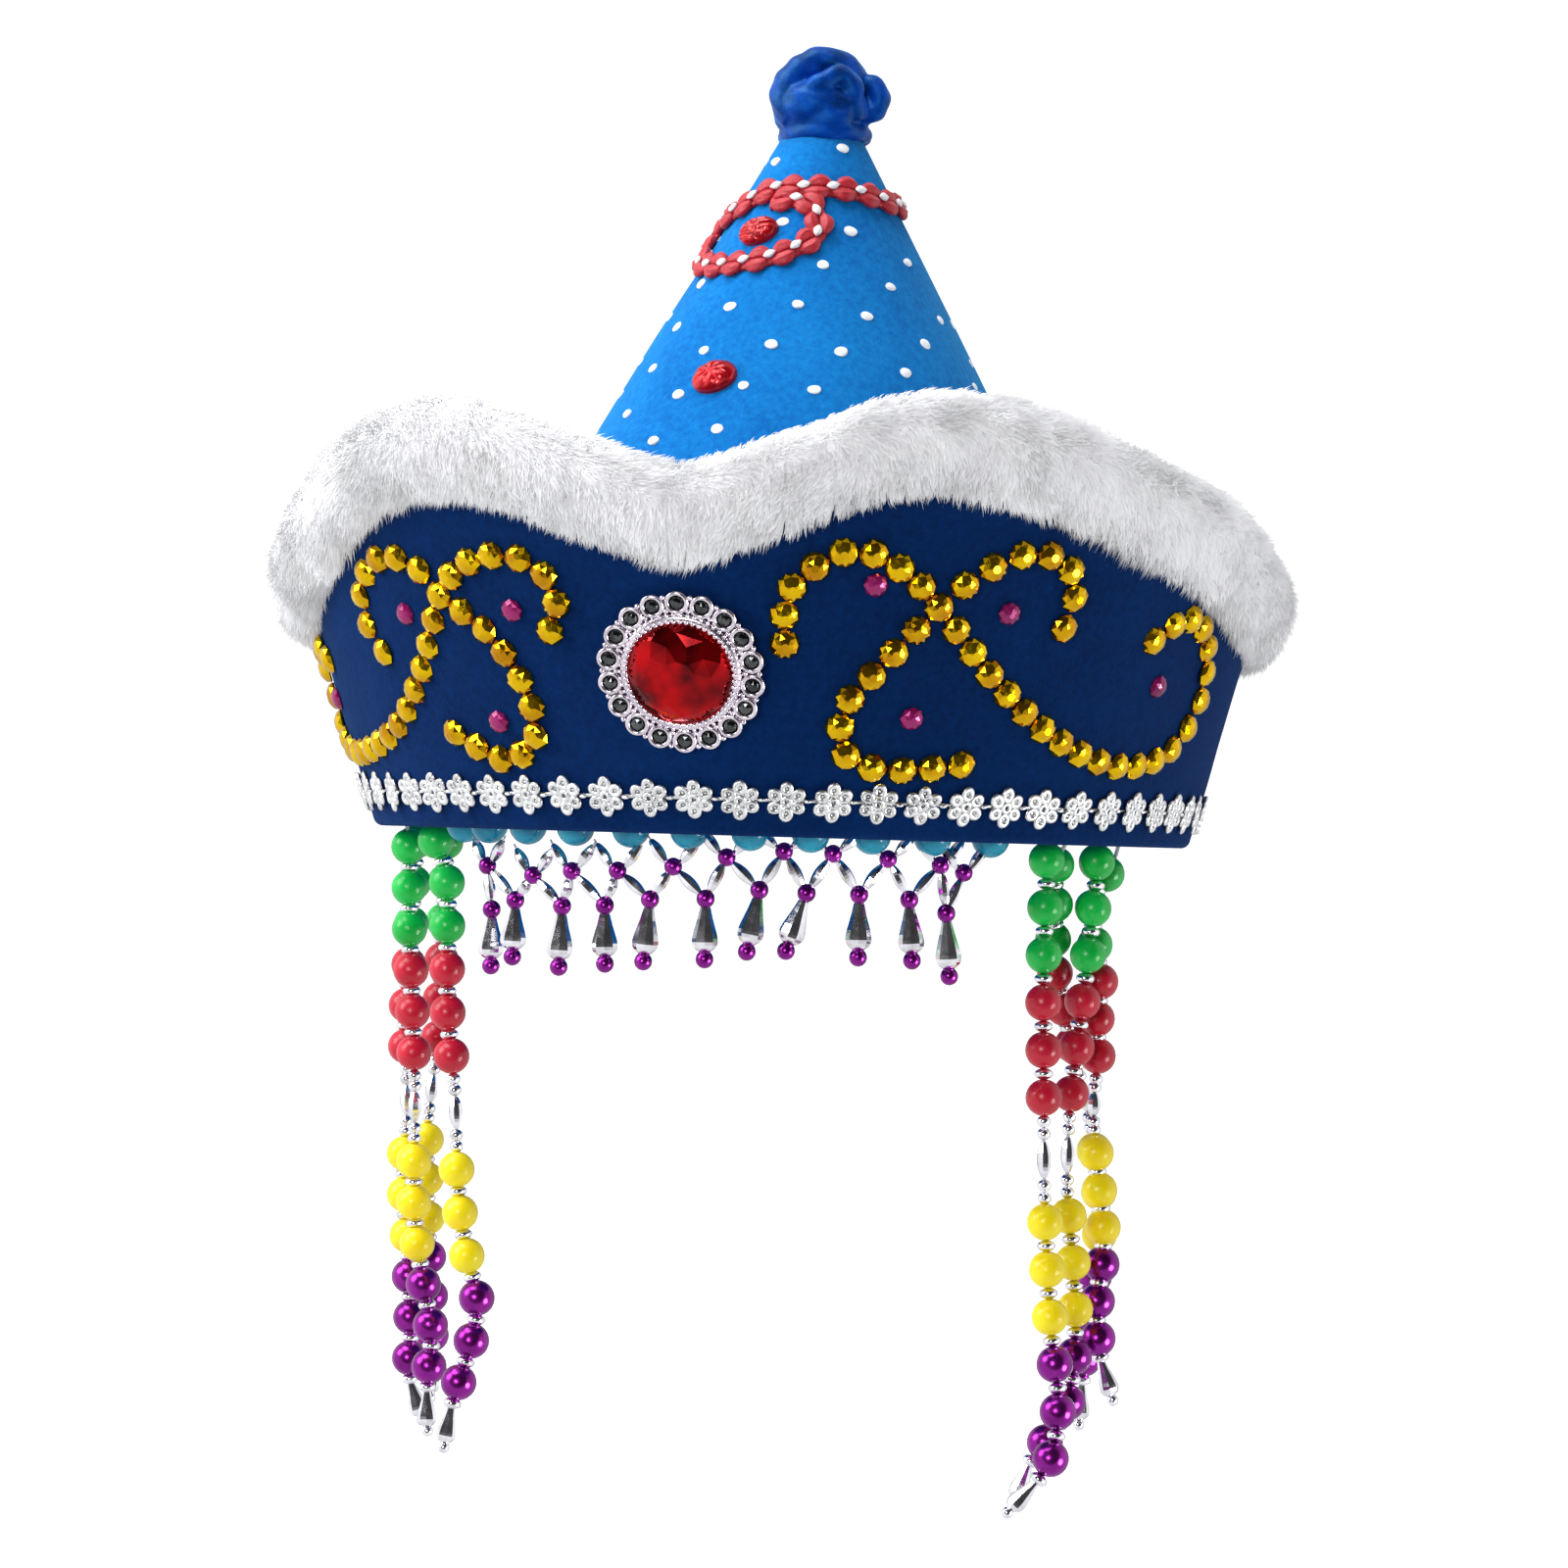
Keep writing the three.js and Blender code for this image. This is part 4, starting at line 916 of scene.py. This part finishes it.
def cloth_knot():
    """Velvet tied over the tip: a wrapped foot, a roll over the top, a front fold and a side lobe."""
    mesh = blended(knot_folds(), "velvet_knot")
    co = np.zeros(len(mesh.vertices) * 3)
    normal = np.zeros(len(co))
    mesh.vertices.foreach_get("co", co)
    mesh.vertices.foreach_get("normal", normal)
    co, normal = co.reshape(-1, 3) / MM, normal.reshape(-1, 3)
    wrinkle = (0.16 * np.sin(co[:, 0] * 0.7 + co[:, 2] * 1.1 + 1.2 * np.sin(co[:, 1] * 0.6))
               + 0.08 * np.sin(co[:, 1] * 1.5 - co[:, 2] * 1.0 + co[:, 0] * 0.6))
    co = co + normal * wrinkle[:, None]
    co = co @ turn_z(math.radians(KNOT_TURN)).T + as_array(KNOT_FOOT)
    mesh.vertices.foreach_set("co", (co * MM).astype(np.float32).ravel())
    mesh.polygons.foreach_set("use_smooth", np.full(len(mesh.polygons), True))
    mesh.update()
    add_mesh("velvet_knot", mesh, "knot", ["top_knot"])


def braid_height(degrees):
    left = np.minimum(np.abs(degrees - BRAID["dip_at"]) / BRAID["dip_half"], 1)
    right = np.minimum(np.abs(degrees - BRAID["sag_at"]) / BRAID["sag_half"], 1)
    return (BRAID["z"] - BRAID["dip"] * np.cos(left * np.pi / 2) ** 2
            - BRAID["sag"] * np.cos(right * np.pi / 2) ** 2)


def braid_along(places, closed):
    """Petals of a braid along a line of angles and heights on the cone, with its white stitches."""
    points = on_cone(places[:, 0], places[:, 1])
    normals = cone_normal(places[:, 0], places[:, 1])
    marks = np.concatenate([[0], np.cumsum(np.linalg.norm(np.diff(points, axis=0), axis=1))])
    count = max(2, int(round(marks[-1] / BRAID_PITCH)))
    step = marks[-1] / count

    def spot(s):
        s = s % marks[-1] if closed else min(max(s, 0), marks[-1])
        point = np.array([np.interp(s, marks, column) for column in points.T])
        normal = unit(np.array([np.interp(s, marks, column) for column in normals.T]))
        return point, normal

    def frame_at(s):
        point, normal = spot(s)
        along = unit(spot(s + 0.6)[0] - spot(s - 0.6)[0])
        return point, normal, along, np.cross(normal, along)

    petals, stitches, bed = Shape(), Shape(), []
    half_width = BRAID_HALF_WIDTH
    ball, *ball_faces = turned(ball_profile(1, 11), 16)
    knob, *knob_faces = turned(ball_profile(1, 6), 10)
    rng = np.random.default_rng(17)
    for k in range(count):
        for row, share in ((1, 0.52), (-1, 0.4)):
            point, normal, along, side = frame_at((k + share) * step)
            leaf = ball * [step * 0.5, half_width * 0.5, 1.15]
            hump = 1 - (ball[:, 0]) ** 2
            leaf[:, 2] += 0.12 * np.cos(ball[:, 1] * 7.0) * (ball[:, 2] > 0) + 0.35 * hump
            leaf[:, 1] += row * half_width * (0.26 + 0.26 * hump)
            tipped = unit(normal + side * 0.12 * row + rng.normal(0, 0.03, 3))
            middle = point + normal * (BRAID["gap"] + 0.5)
            petals.add(placed(leaf, middle, basis(tipped, along)), *ball_faces)
        point, normal, along, side = frame_at((k - 0.04) * step)
        axes = basis(normal, unit(along + side * 0.2))
        square = knob * [1.6, 1.05, 0.6]
        square[:, 0] *= 1 - 0.4 * np.abs(knob[:, 1])
        stitches.add(placed(square, point + normal * (BRAID["gap"] + 1.6), axes), *knob_faces)
    for s in np.linspace(0, marks[-1], 4 * count, endpoint=not closed):
        point, normal, along, side = frame_at(s)
        bed.append([point + side * half_width * wide + normal * high
                    for wide, high in ((-0.62, 0.2), (-0.5, 1.05), (0.5, 1.05), (0.62, 0.2))])
    bed = np.array(bed)
    petals.add(bed, grid_faces(len(bed), 4, wrap_rows=closed))
    return petals, stitches


def crown_braid():
    degrees = np.linspace(-180, 180, 241)
    ring = np.stack([degrees, braid_height(degrees)], -1)
    for name, places, closed, replaced in (("braid_ring", ring, True, ["crown_braid"]),
                                           ("braid_loop", Path(BRAID_LOOP).points, False, [])):
        petals, stitches = braid_along(places, closed)
        add_piece(name, petals, "braid", replaced)
        add_piece(f"{name}_stitches", stitches, "stitch")


def cone_stones():
    """Oval domed stones: the upper one ridged like a shell, the lower one like a star."""
    rings, around = 12, 72
    r = np.sin(np.linspace(0.0, 1.0, rings) * np.pi / 2)[:, None]
    t = circle(around)[None, :]
    x, y = r * np.cos(t), r * np.sin(t)
    dome = np.sqrt(np.maximum(0, 1 - r ** 2)) + 0 * t
    shell = 0.14 * np.abs(np.sin(7 * np.arctan2(y, x + 1.25) * 1.6)) * np.minimum(1, 2 * r)
    star = 0.17 * np.abs(np.cos(4 * t)) * np.sin(np.pi * np.minimum(1, r * 1.05))
    for name, size, ridge in (("crown_stone_upper", (4.75, 3.5, 2.4), shell),
                              ("crown_stone_lower", (5.25, 4.1, 2.5), star)):
        degrees, z = CONE_STONES[name]
        normal = cone_normal(degrees, z)
        level = np.cross(UP, normal)
        axes = basis(normal, unit(level + np.cross(normal, unit(level)) * 0.27))
        high = np.maximum(dome + ridge * (r < 0.99), 0.12) + 0.25
        top = np.stack([x, y, high], -1)
        foot = np.stack([np.cos(t[0]), np.sin(t[0]), -0.1 + 0 * t[0]], -1)[None]
        points = np.concatenate([foot, top[::-1]]).reshape(-1, 3)
        shape = Shape().put((points, grid_faces(rings + 1, around)), on_cone(degrees, z), axes, size)
        add_piece(f"{name}_cut", shape, "oval", [name], smooth=False)


def medallion():
    """Setting of small looped gems round a milled bezel, and the large cut stone."""
    out = band_frame(0.0)[2]
    middle = on_band(0.0, MEDALLION_Z, 0.0)
    axes = basis(out, np.array([1.0, 0, 0]))
    metal, gems, stone, plate = Shape(), Shape(), Shape(), Shape()
    plate.put(turned([(16.2, 0.0), (16.4, 0.7), (15.8, 1.0), (12.9, 1.1)], 96), middle, axes)
    metal.put(turned([(13.0, 0.8), (13.1, 1.6), (12.6, 2.3), (11.7, 2.7), (11.1, 2.3), (10.9, 1.0)], 96),
              middle, axes)
    tooth, *tooth_faces = turned(ball_profile(1, 7), 10)
    for k in range(BEZEL_TEETH):
        turn = turn_z(2 * math.pi * k / BEZEL_TEETH)
        for reach, height, size in ((12.75, 2.1, (0.62, 0.44, 0.5)), (11.55, 2.75, (0.6, 0.5, 0.42))):
            metal.put(((tooth * size + [reach, 0, height]) @ turn.T, *tooth_faces), middle, axes)
    gem, gem_faces = cut_stone(8, [(1.0, 0, 0), (0.9, 0.36, 0.5), (0.66, 0.7, 0), (0.3, 0.9, 0.5)])
    loop, loop_faces = ring_shape(2.1, 0.56, 26, 8)
    claw, *claw_faces = turned(ball_profile(0.62, 7), 10)
    rng = np.random.default_rng(8)
    for k in range(MEDALLION_BEADS):
        a = 2 * math.pi * (k + 0.5) / MEDALLION_BEADS
        spot = np.array([GEM_RING * math.cos(a), GEM_RING * math.sin(a), 1.7])
        metal.put((loop + spot, loop_faces), middle, axes)
        turn = turn_z(rng.uniform(0, 1))
        gems.put(((gem * [1.85, 1.85, 1.7]) @ turn.T + spot - [0, 0, 0.8], gem_faces), middle, axes)
        a += math.pi / MEDALLION_BEADS
        for reach in (13.7, 16.7):
            claw_at = np.array([reach * math.cos(a), reach * math.sin(a), 1.7])
            metal.put((claw + claw_at, *claw_faces), middle, axes)
    ruby_rows = [(11.2, 0.9, 0), (11.35, 1.9, 0), (9.4, 3.6, 0.5), (7.0, 4.6, 0), (3.6, 5.3, 0.5)]
    stone.put(cut_stone(10, ruby_rows), middle, axes)
    add_piece("medallion_filigree", metal, "setting", ["medallion_setting"])
    add_piece("medallion_gems", gems, "gem", smooth=False)
    add_piece("medallion_plate", plate, "pit")
    add_piece("medallion_ruby", stone, "ruby", ["medallion_stone"], smooth=False)


def stroke_stones(stroke, leaves_crossing):
    """Places of the stones along a stroke, without the one that another stroke sets."""
    path = Path([on_band(at, z) for at, z in stroke])
    pitches = int(round(path.length / GOLD_STONE["pitch"]))
    first = 1 if leaves_crossing else 0
    return [path.at(path.length * k / pitches) for k in range(first, pitches + 1)]


def gold_scroll(side):
    rng = np.random.default_rng(31 if side == "left" else 32)
    shape = Shape()
    stone = cut_stone(10, STONE_ROWS)
    size = (GOLD_STONE["radius"], GOLD_STONE["radius"], GOLD_STONE["height"])
    for index, stroke in enumerate(GOLD_STROKES[side]):
        for spot in stroke_stones(stroke, index > 0):
            degrees = math.degrees(math.atan2(spot[0] / RIM["x"], -spot[1] / RIM["y"]))
            _, up, out, _ = band_frame(degrees)
            tipped = unit(out + rng.normal(0, 0.05, 3))
            axes = basis(tipped, unit(up + rng.normal(0, 0.5, 3)))
            shape.put(stone, on_band(degrees, spot[2], STONE_LIFT), axes, size)
    add_piece(f"gold_stones_{side}", shape, "gold", [f"gold_scroll_{side}"], smooth=False)


def magenta_stones(side):
    stone = cut_stone(8, STONE_ROWS)
    for index, (degrees, z) in enumerate(MAGENTA_STONES[side]):
        _, up, out, _ = band_frame(degrees)
        shape = Shape().put(stone, on_band(degrees, z, STONE_LIFT), basis(out, up), MAGENTA_SIZE)
        solid = f"magenta_stone_{side}_{index + 1}"
        add_piece(f"{solid}_cut", shape, "magenta", [solid], smooth=False)


def flower_tape():
    """Tape of small six-petal flowers, each with a pierced middle, pitted petals and a pointed link."""
    shape, pits = Shape(), Shape()
    petal, petal_faces = ring_shape(0.98, 0.6, 14, 6, squash=0.8, reach=1.15)
    hub, hub_faces = ring_shape(0.9, 0.55, 14, 6, squash=0.9)
    disc, *disc_faces = turned([(1.2, 0.0), (1.25, 0.3), (0.5, 0.42)], 14)
    seed, *seed_faces = turned(ball_profile(0.36, 4), 6)
    tip = turned(ball_profile(1, 5), 8)
    flowers = TAPE["flowers"]
    rng = np.random.default_rng(44)
    for k in range(flowers):
        degrees = 360 * k / flowers - 180 + 0.6
        _, up, out, _ = band_frame(degrees)
        middle = on_band(degrees, TAPE["z"], 0.3)
        axes = basis(unit(out + rng.normal(0, 0.06, 3)), up)
        for p in range(6):
            turn = turn_z(2 * math.pi * (p + 0.5) / 6 + math.pi / 6)
            size = rng.uniform(0.94, 1.06)
            shape.put(((petal * size + [2.75, 0, 0.55]) @ turn.T, petal_faces), middle, axes)
            shape.put(((seed + [2.75, 0, 0.45]) @ turn.T, *seed_faces), middle, axes)
            # The backing discs behind the petals and the hub take the darker silver: painted shade in the
            # pits.
            pits.put(((disc + [2.7, 0, 0]) @ turn.T, *disc_faces), middle, axes)
        shape.put((hub + [0, 0, 0.75], hub_faces), middle, axes)
        pits.put((disc * [1, 1, 0.8], *disc_faces), middle, axes)
        side = axes @ np.array([0, -1.0, 0])
        shape.put(tip, middle + side * 4.5 + out * 0.45, axes, (0.45, 0.95, 0.4))
    steps = 496
    degrees = full_turn(steps)
    corners = [(-0.3, 0.05), (-0.3, 0.45), (0.3, 0.45), (0.3, 0.05)]
    rows = np.stack([on_band(degrees, TAPE["z"] + dz, out) for dz, out in corners], 1)
    shape.add(rows, grid_faces(steps, 4, wrap_rows=True))
    add_piece("flower_trim", shape, "flower", ["flower_tape"])
    add_piece("flower_pits", pits, "pit")


def rice_bead(shape, start, end, radius, sides=8):
    """Slim bead that tapers to both ends."""
    share = np.linspace(0, 1, 11)
    radii = radius * np.sin(np.pi * (0.1 + 0.8 * share)) ** 0.75
    points = start + (end - start) * share[:, None]
    tube(shape, points, radii, sides)


def drop_bead(shape, start, end, radius, sides=9):
    """Tear-shaped drop: slim at its top, full near its foot."""
    share = np.array([0, 0.03, 0.12, 0.28, 0.44, 0.58, 0.7, 0.78, 0.85, 0.91, 0.96, 1.0])
    reach = np.array([0.3, 0.4, 0.47, 0.6, 0.76, 0.9, 0.99, 1.0, 0.95, 0.82, 0.62, 0.4])
    points = start + (end - start) * share[:, None]
    tube(shape, points, radius * reach, sides)


def add_ball(shape, middle, radius, axis=UP, sides=20, rows=12, flat=1.0):
    points, *faces = turned(ball_profile(radius, rows), sides)
    points[:, 2] *= flat
    shape.put((points, *faces), middle, basis(axis))


def fringe_at(degrees, z):
    return on_ellipse(FRINGE["x"], FRINGE["y"], degrees, z)


def net_top(silver, thread, at, z):
    """Two slim beads on threads that lead from a small bead of the net up to the rim."""
    for side in (-1, 1):
        rise = fringe_at(at + side * 4.2, min(1.5, z + 6.5))
        start = fringe_at(at + side * 1.2, z + 0.9)
        reach = min(1, 5.8 / np.linalg.norm(rise - start))
        rice_bead(silver, start, start + (rise - start) * reach, 1.3)
        tube(thread, np.linspace(start, rise, 4), THREAD, 5)


def front_fringe():
    teal, purple, silver, thread = Shape(), Shape(), Shape(), Shape()
    for at in FRINGE_BEADS:
        add_ball(teal, fringe_at(at, FRINGE["z"]), FRINGE_BEAD_RADIUS, band_frame(at)[0], 28, 16)
    degrees = np.linspace(FRINGE_BEADS[0], FRINGE_BEADS[-1], 60)
    tube(thread, fringe_at(degrees, FRINGE["z"]), 0.5, 6)
    for at, z in NET_TOPS:
        add_ball(purple, fringe_at(at, z), NET_BEAD, sides=18, rows=10)
        net_top(silver, thread, at, z)
    for index, (at, z, end_at, end_z) in enumerate(NET_DROPS):
        bead = fringe_at(at, z)
        end = fringe_at(end_at, end_z + 1.9)
        down = unit(end - bead)
        add_ball(purple, bead, NET_BEAD + 0.05, down, 18, 10)
        drop_bead(silver, bead + down * 1.6, end - down * 1.5, 2.85)
        add_ball(purple, end, NET_BEAD, down, 18, 10)
        tube(thread, np.linspace(bead, end, 4), THREAD, 5)
        for top in NET_TOPS[max(0, index - 1):index + 1]:
            above = fringe_at(*top)
            ahead = unit(above - bead)
            rice_bead(silver, bead + ahead * 1.6, above - ahead * 1.6, 1.3)
    add_piece("fringe_big_beads", teal, "teal", ["front_fringe"])
    add_piece("fringe_purple_beads", purple, "purple")
    add_piece("fringe_silver_beads", silver, "silver", smooth=False)
    add_piece("fringe_thread", thread, "thread")


def string_path(sewn_at, line):
    """Line of a string from where it is sewn inside the band, and how long its stem is."""
    stem = [on_ellipse(STEM["x"], STEM["y"], sewn_at, STRING["stem_top"]),
            on_ellipse(STEM["x"], STEM["y"], sewn_at, COLLAR["foot"] + 0.5), as_array(line[0])]
    stem_length = sum(np.linalg.norm(b - a) for a, b in zip(stem, stem[1:]))
    return Path(stem + [as_array(row) for row in line[1:]]), stem_length


def bead_string(name, sewn_at, line):
    """Four colours of three beads, small silver beads between, and a drop at the end."""
    path, s = string_path(sewn_at, line)
    s += STRING_STARTS.get(name, 0.0)
    fit = (path.length - s - STRING["drop"]) / (10.5 * STRING["pitch"] + STRING["silver"])
    pitch = STRING["pitch"] * fit
    silver, cut, thread = Shape(), Shape(), Shape()
    beads = {colour: Shape() for colour in STRING_COLOURS}

    def small(s, radius=2.1, flat=0.6):
        add_ball(silver, path.at(s), radius, path.along(s), 14, 8, flat)

    for index, colour in enumerate(STRING_COLOURS):
        for k in range(BEADS_PER_COLOUR):
            add_ball(beads[colour], path.at(s), STRING["bead"], path.along(s), 24, 13)
            if not (index == SILVER_AFTER and k == BEADS_PER_COLOUR - 1):
                small(s + pitch / 2)
            s += pitch
        if index == SILVER_AFTER:
            extra = STRING["silver"] * fit
            start = s - pitch + STRING["bead"] + 1.1
            end = s - pitch + extra - STRING["bead"] - 1.1
            for share in (0.0, 0.165, 0.835, 1.0):
                small(start + (end - start) * share, 1.55, 0.88)
            rice_bead(cut, *(path.at(start + (end - start) * share) for share in (0.27, 0.73)), 1.6)
            s += extra - pitch
    drop_bead(cut, path.at(s - pitch / 2 + 0.8), path.at(path.length - 2.6), 2.25)
    add_ball(silver, path.at(path.length - 1.6), 1.35, path.along(path.length - 1.6), 12, 8)
    tube(thread, path.at(np.linspace(0, path.length - 2, 50)), 0.45, 6)
    replaced = [f"bead_string_{name}"]
    for colour, shape in beads.items():
        add_piece(f"string_{name}_{colour}", shape, colour, replaced)
        replaced = []
    add_piece(f"string_{name}_silver", silver, "silver")
    add_piece(f"string_{name}_drop", cut, "silver", smooth=False)
    add_piece(f"string_{name}_thread", thread, "thread")


# Stage, light and camera

def stage():
    """Pale floor well below the hat that rises to a wall far off on every side."""
    steps = 96
    profile = [(1.2, 0.0), (2.4, 0.0), (3.2, 0.03), (3.9, 0.16), (4.4, 0.45), (4.7, 0.9),
               (4.8, 1.5), (4.85, 2.4), (4.9, 3.4)]
    rows = [oval(r, r, circle(steps), z) for r, z in profile]
    points = np.vstack(rows + [[[0, 0, 0]]]) / MM + [0, 0, STAGE_Z]
    j = np.arange(steps)
    centre = len(points) - 1
    middle = np.stack([j, (j + 1) % steps, 0 * j + centre], -1)
    shape = Shape().add(points, grid_faces(len(rows), steps)[:, ::-1], middle)
    look = new_look("pale_stage_look", {
        "Base Color": (0.9, 0.9, 0.9, 1), "Roughness": 0.9, "Specular IOR Level": 0.1,
        "Emission Color": (1, 1, 1, 1), "Emission Strength": STAGE_GLOW})[0]
    floor = link_object("pale_stage", shape.mesh("pale_stage"))
    floor.data.materials.append(look)
    floor.visible_glossy = False
    floor.visible_diffuse = False


def soft_light(name, place, aim, size, watts):
    data = bpy.data.lights.new(name, "AREA")
    data.shape = "DISK"
    data.size = size
    data.energy = watts
    lamp = link_object(name, data)
    lamp.location = place
    lamp.rotation_euler = (Vector(aim) - Vector(place)).to_track_quat("-Z", "Y").to_euler()


def room_shade(tree, direction, aim, inner, outer, low):
    """One over most of the room, falling to a low value within the inner angle of a direction."""
    spread = node(tree, "ShaderNodeVectorMath", operation="DOT_PRODUCT")
    spread.inputs[1].default_value = Vector(aim).normalized()
    tree.links.new(direction, spread.inputs[0])
    remap = node(tree, "ShaderNodeMapRange", interpolation_type="SMOOTHSTEP",
                 **{"From Min": math.cos(math.radians(outer)), "From Max": math.cos(math.radians(inner)),
                    "To Min": 1.0, "To Max": low})
    tree.links.new(spread.outputs["Value"], remap.inputs["Value"])
    return remap.outputs["Result"]


def lighting():
    """White tent, dark where it is open in front and greyer behind, with soft lamps."""
    world = bpy.data.worlds.new("white_tent")
    world.use_nodes = True
    tree = world.node_tree
    back = tree.nodes["Background"]
    direction = node(tree, "ShaderNodeTexCoord").outputs["Generated"]
    whole = None
    for shade in TENT_SHADES:
        product = node(tree, "ShaderNodeMath", operation="MULTIPLY")
        if whole is None:
            product.inputs[0].default_value = TENT_WHITE
        else:
            tree.links.new(whole, product.inputs[0])
        tree.links.new(room_shade(tree, direction, *shade), product.inputs[1])
        whole = product.outputs["Value"]
    tree.links.new(whole, back.inputs["Strength"])
    back.inputs["Color"].default_value = (0.97, 0.985, 1.0, 1)
    bpy.context.scene.world = world
    for name, values in LAMPS.items():
        soft_light(name, *values)
    bpy.context.scene.view_settings.view_transform = "Standard"


def camera():
    yaw, elevation, roll = (math.radians(CAMERA[k]) for k in ("yaw", "elevation", "roll"))
    back = Vector((math.sin(yaw) * math.cos(elevation), -math.cos(yaw) * math.cos(elevation),
                   math.sin(elevation)))
    right = Vector((math.cos(yaw), math.sin(yaw), 0))
    up = back.cross(right)
    rolled_right = right * math.cos(roll) + up * math.sin(roll)
    rolled_up = up * math.cos(roll) - right * math.sin(roll)
    data = bpy.data.cameras.new("camera")
    data.lens = CAMERA["lens"]
    data.sensor_width = 36
    data.clip_end = 50
    made = link_object("camera", data)
    place = Vector((0, 0, CAMERA["target_z"])) + back * CAMERA["distance"]
    turn = Matrix((rolled_right, rolled_up, back)).transposed().to_4x4()
    made.matrix_world = Matrix.Translation(place) @ turn
    bpy.context.scene.camera = made


camera()
brim_band()
crown()
cone_dots()
fur_core()
for sheet in range(FUR_SHEETS):
    fur_sheet(sheet)
cloth_knot()
crown_braid()
cone_stones()
medallion()
for hat_side in ("left", "right"):
    gold_scroll(hat_side)
    magenta_stones(hat_side)
flower_tape()
front_fringe()
for string_name, (sewn, hanging) in STRINGS.items():
    bead_string(string_name, sewn, hanging)
stage()
lighting()
